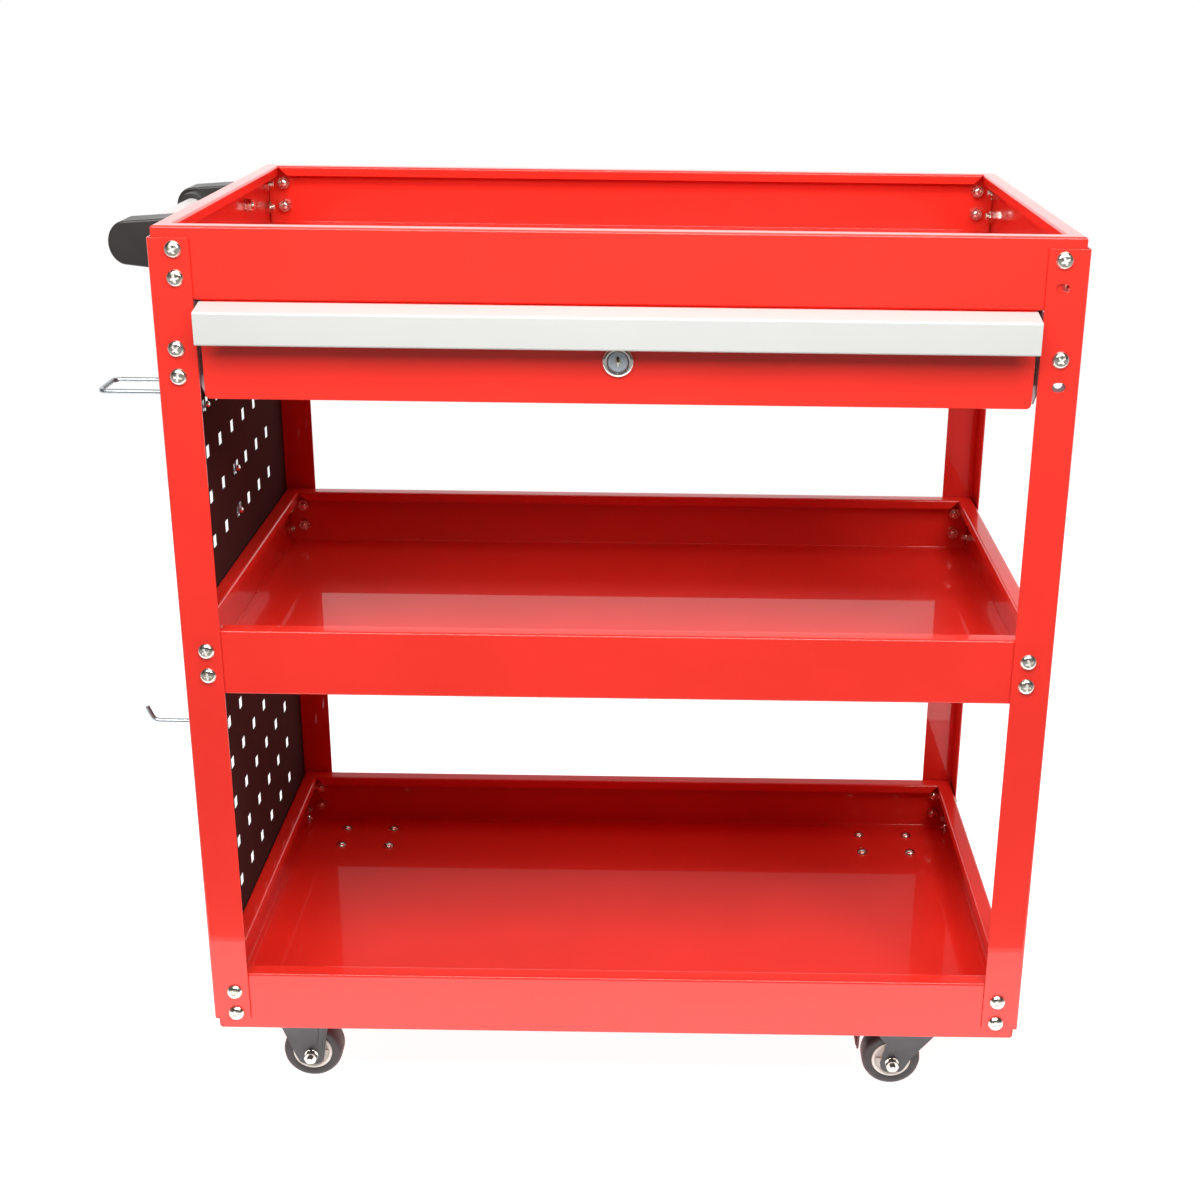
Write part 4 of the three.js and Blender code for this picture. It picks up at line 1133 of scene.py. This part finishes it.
def pedal(place_name, body, centre):
    """A stepped lever with a ribbed toe, on a pin through the fork."""
    half, rib_half, rib = 11, 9, 0.6
    lever = [(-27, 58.6, 1), (-33, 59.6, 3), (-51, 54.6, 4), (-56, 50, 4), (-56.5, 36, 0.8),
             (-54.7, 36, 0.8), (-54, 48.7, 3), (-50, 52.6, 3), (-33, 57, 2), (-27, 56, 1)]
    mesh = bmesh.new()
    add_prism(mesh, round_outline(lever, 4), lambda a, b, y: (centre[0] + a, centre[1] + y, b), -half, half)
    for z in (38.5, 41.5, 44.5):
        add_box(mesh, (centre[0] - 57.2, centre[1] - rib_half, z - rib),
                (centre[0] - 55.6, centre[1] + rib_half, z + rib))
    # The pedal's dark red is a painted reflection of the red trays on black plastic.
    brake = finished(mesh, f"brake_pedal_{place_name}_moulded", "brake_plastic_painted_red_reflection", body, bevel=0.5)
    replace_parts(brake, f"brake_pedal_{place_name}")
    pin = bmesh.new()
    pivot = placer((centre[0] - 31, centre[1] - 16, 57), (0, 1, 0))
    add_lathe(pin, [(0, 0), (2.6, 0), (3.2, 0.6), (3.2, 1.4), (1.9, 1.5), (1.9, 30.5), (3.2, 30.6),
                    (3.2, 31.4), (2.6, 32), (0, 32)], pivot, 24)
    finished(pin, f"brake_pin_{place_name}", "zinc", body)


def casters():
    for end_name, end in ENDS.items():
        for side_name, side in SIDES.items():
            name = f"{end_name}_{side_name}"
            centre = (side * CASTER_X, end * CASTER_Y)
            if side < 0:
                top = local_box(f"fixed_fork_{name}")[1].z
                fixed_caster(name, centre, top)
                wheel(name, f"wheel_{name}", centre)
                axle_hardware(name, ROOT, centre)
            else:
                top = local_box(f"swivel_plate_{name}")[1].z
                swivel_caster(name, end_name, centre, top)
                behind = (centre[0] - TRAIL, centre[1])
                wheel(name, f"wheel_{name}", behind)
                axle_hardware(name, f"swivel_{end_name}", behind)


# ---- studio

def floor():
    """A pale table top, evenly lit, whose front edge lies a little before the cart."""
    mesh = bmesh.new()
    front, rear, side = -410, 1500, 1400
    mesh.faces.new([mesh.verts.new((x, y, 0)) for x, y in ((-side, front), (side, front),
                                                         (side, rear), (-side, rear))])
    mesh.transform(Matrix.Scale(MM, 4))
    piece = plain_object("floor", mesh)
    glow = {"Emission Color": (1, 1, 1, 1), "Emission Strength": FLOOR_GLOW, "Specular IOR Level": 0.2}
    piece.data.materials.append(shader("studio_floor", (0.5, 0.5, 0.5), 0.6, sockets=glow))


def area_light(name, place, target, size, power, seen):
    data = bpy.data.lights.new(name, "AREA")
    data.shape = "RECTANGLE"
    data.size, data.size_y = size
    data.energy = power
    lamp = bpy.data.objects.new(name, data)
    bpy.context.scene.collection.objects.link(lamp)
    lamp.location = place
    lamp.rotation_mode = "QUATERNION"
    lamp.rotation_quaternion = (target - place).to_track_quat("-Z", "Y")
    lamp.visible_camera = seen


def surroundings():
    """White to the camera. To the object, a bright low backdrop behind it and a dim room before it."""
    world = bpy.data.worlds.new("studio")
    world.use_nodes = True
    nodes, links = world.node_tree.nodes, world.node_tree.links
    place = nodes.new("ShaderNodeTexCoord")
    parts = nodes.new("ShaderNodeSeparateXYZ")
    links.new(place.outputs["Generated"], parts.inputs["Vector"])

    def ramp(axis, start, end, low, high):
        spread = nodes.new("ShaderNodeMapRange")
        spread.interpolation_type = "SMOOTHSTEP"
        for name, value in (("From Min", start), ("From Max", end), ("To Min", low), ("To Max", high)):
            spread.inputs[name].default_value = value
        links.new(parts.outputs[axis], spread.inputs["Value"])
        return spread.outputs["Result"]

    def mix(factor, low, high):
        blend = nodes.new("ShaderNodeMix")
        links.new(factor, blend.inputs["Factor"])
        links.new(low, blend.inputs["A"])
        if isinstance(high, float):
            blend.inputs["B"].default_value = high
        else:
            links.new(high, blend.inputs["B"])
        return blend.outputs["Result"]
    backdrop = ramp("Z", 0.15, 0.57, BACKDROP, BACKDROP_HIGH)
    room = ramp("Z", -0.15, 0.05, ROOM_LOW, ROOM_HIGH)
    around = mix(ramp("Y", -0.10, 0.45, 0, 1), room, backdrop)
    path = nodes.new("ShaderNodeLightPath")
    background = nodes["Background"]
    background.inputs["Color"].default_value = (1, 1, 1, 1)
    links.new(mix(path.outputs["Is Camera Ray"], around, 1.0), background.inputs["Strength"])
    bpy.context.scene.world = world


def studio():
    bpy.context.scene.view_settings.view_transform = "Standard"
    surroundings()
    for name, (place, target, size, power, seen) in LIGHTS.items():
        area_light(name, at(*place), at(*target), size, power, seen)


def camera():
    """The camera of the view: a little above the top tray, looking down at the front."""
    yaw, pitch, roll = (math.radians(angle) for angle in (CAMERA_YAW, CAMERA_PITCH, CAMERA_ROLL))
    ahead = Vector((math.sin(yaw) * math.cos(pitch), math.cos(yaw) * math.cos(pitch), math.sin(pitch)))
    right = Vector((math.cos(yaw), -math.sin(yaw), 0))
    up = right.cross(ahead)
    rolled_right = right * math.cos(roll) + up * math.sin(roll)
    rolled_up = up * math.cos(roll) - right * math.sin(roll)
    data = bpy.data.cameras.new("camera")
    data.sensor_width = SENSOR
    data.lens = LENS
    data.shift_x, data.shift_y = SHIFT_X, SHIFT_Y
    data.clip_start, data.clip_end = 0.05, 200
    view = bpy.data.objects.new("camera", data)
    bpy.context.scene.collection.objects.link(view)
    turn = Matrix((rolled_right, rolled_up, -ahead)).transposed()
    view.matrix_world = Matrix.Translation(at(*CAMERA_PLACE)) @ turn.to_4x4()
    bpy.context.scene.camera = view


# ---- the whole cart

legs()
for level in TRAYS:
    tray(level)
screws_and_nuts()
caster_bolts()
end_panels()
handle()
drawer()
lock()
casters()
floor()
studio()
camera()
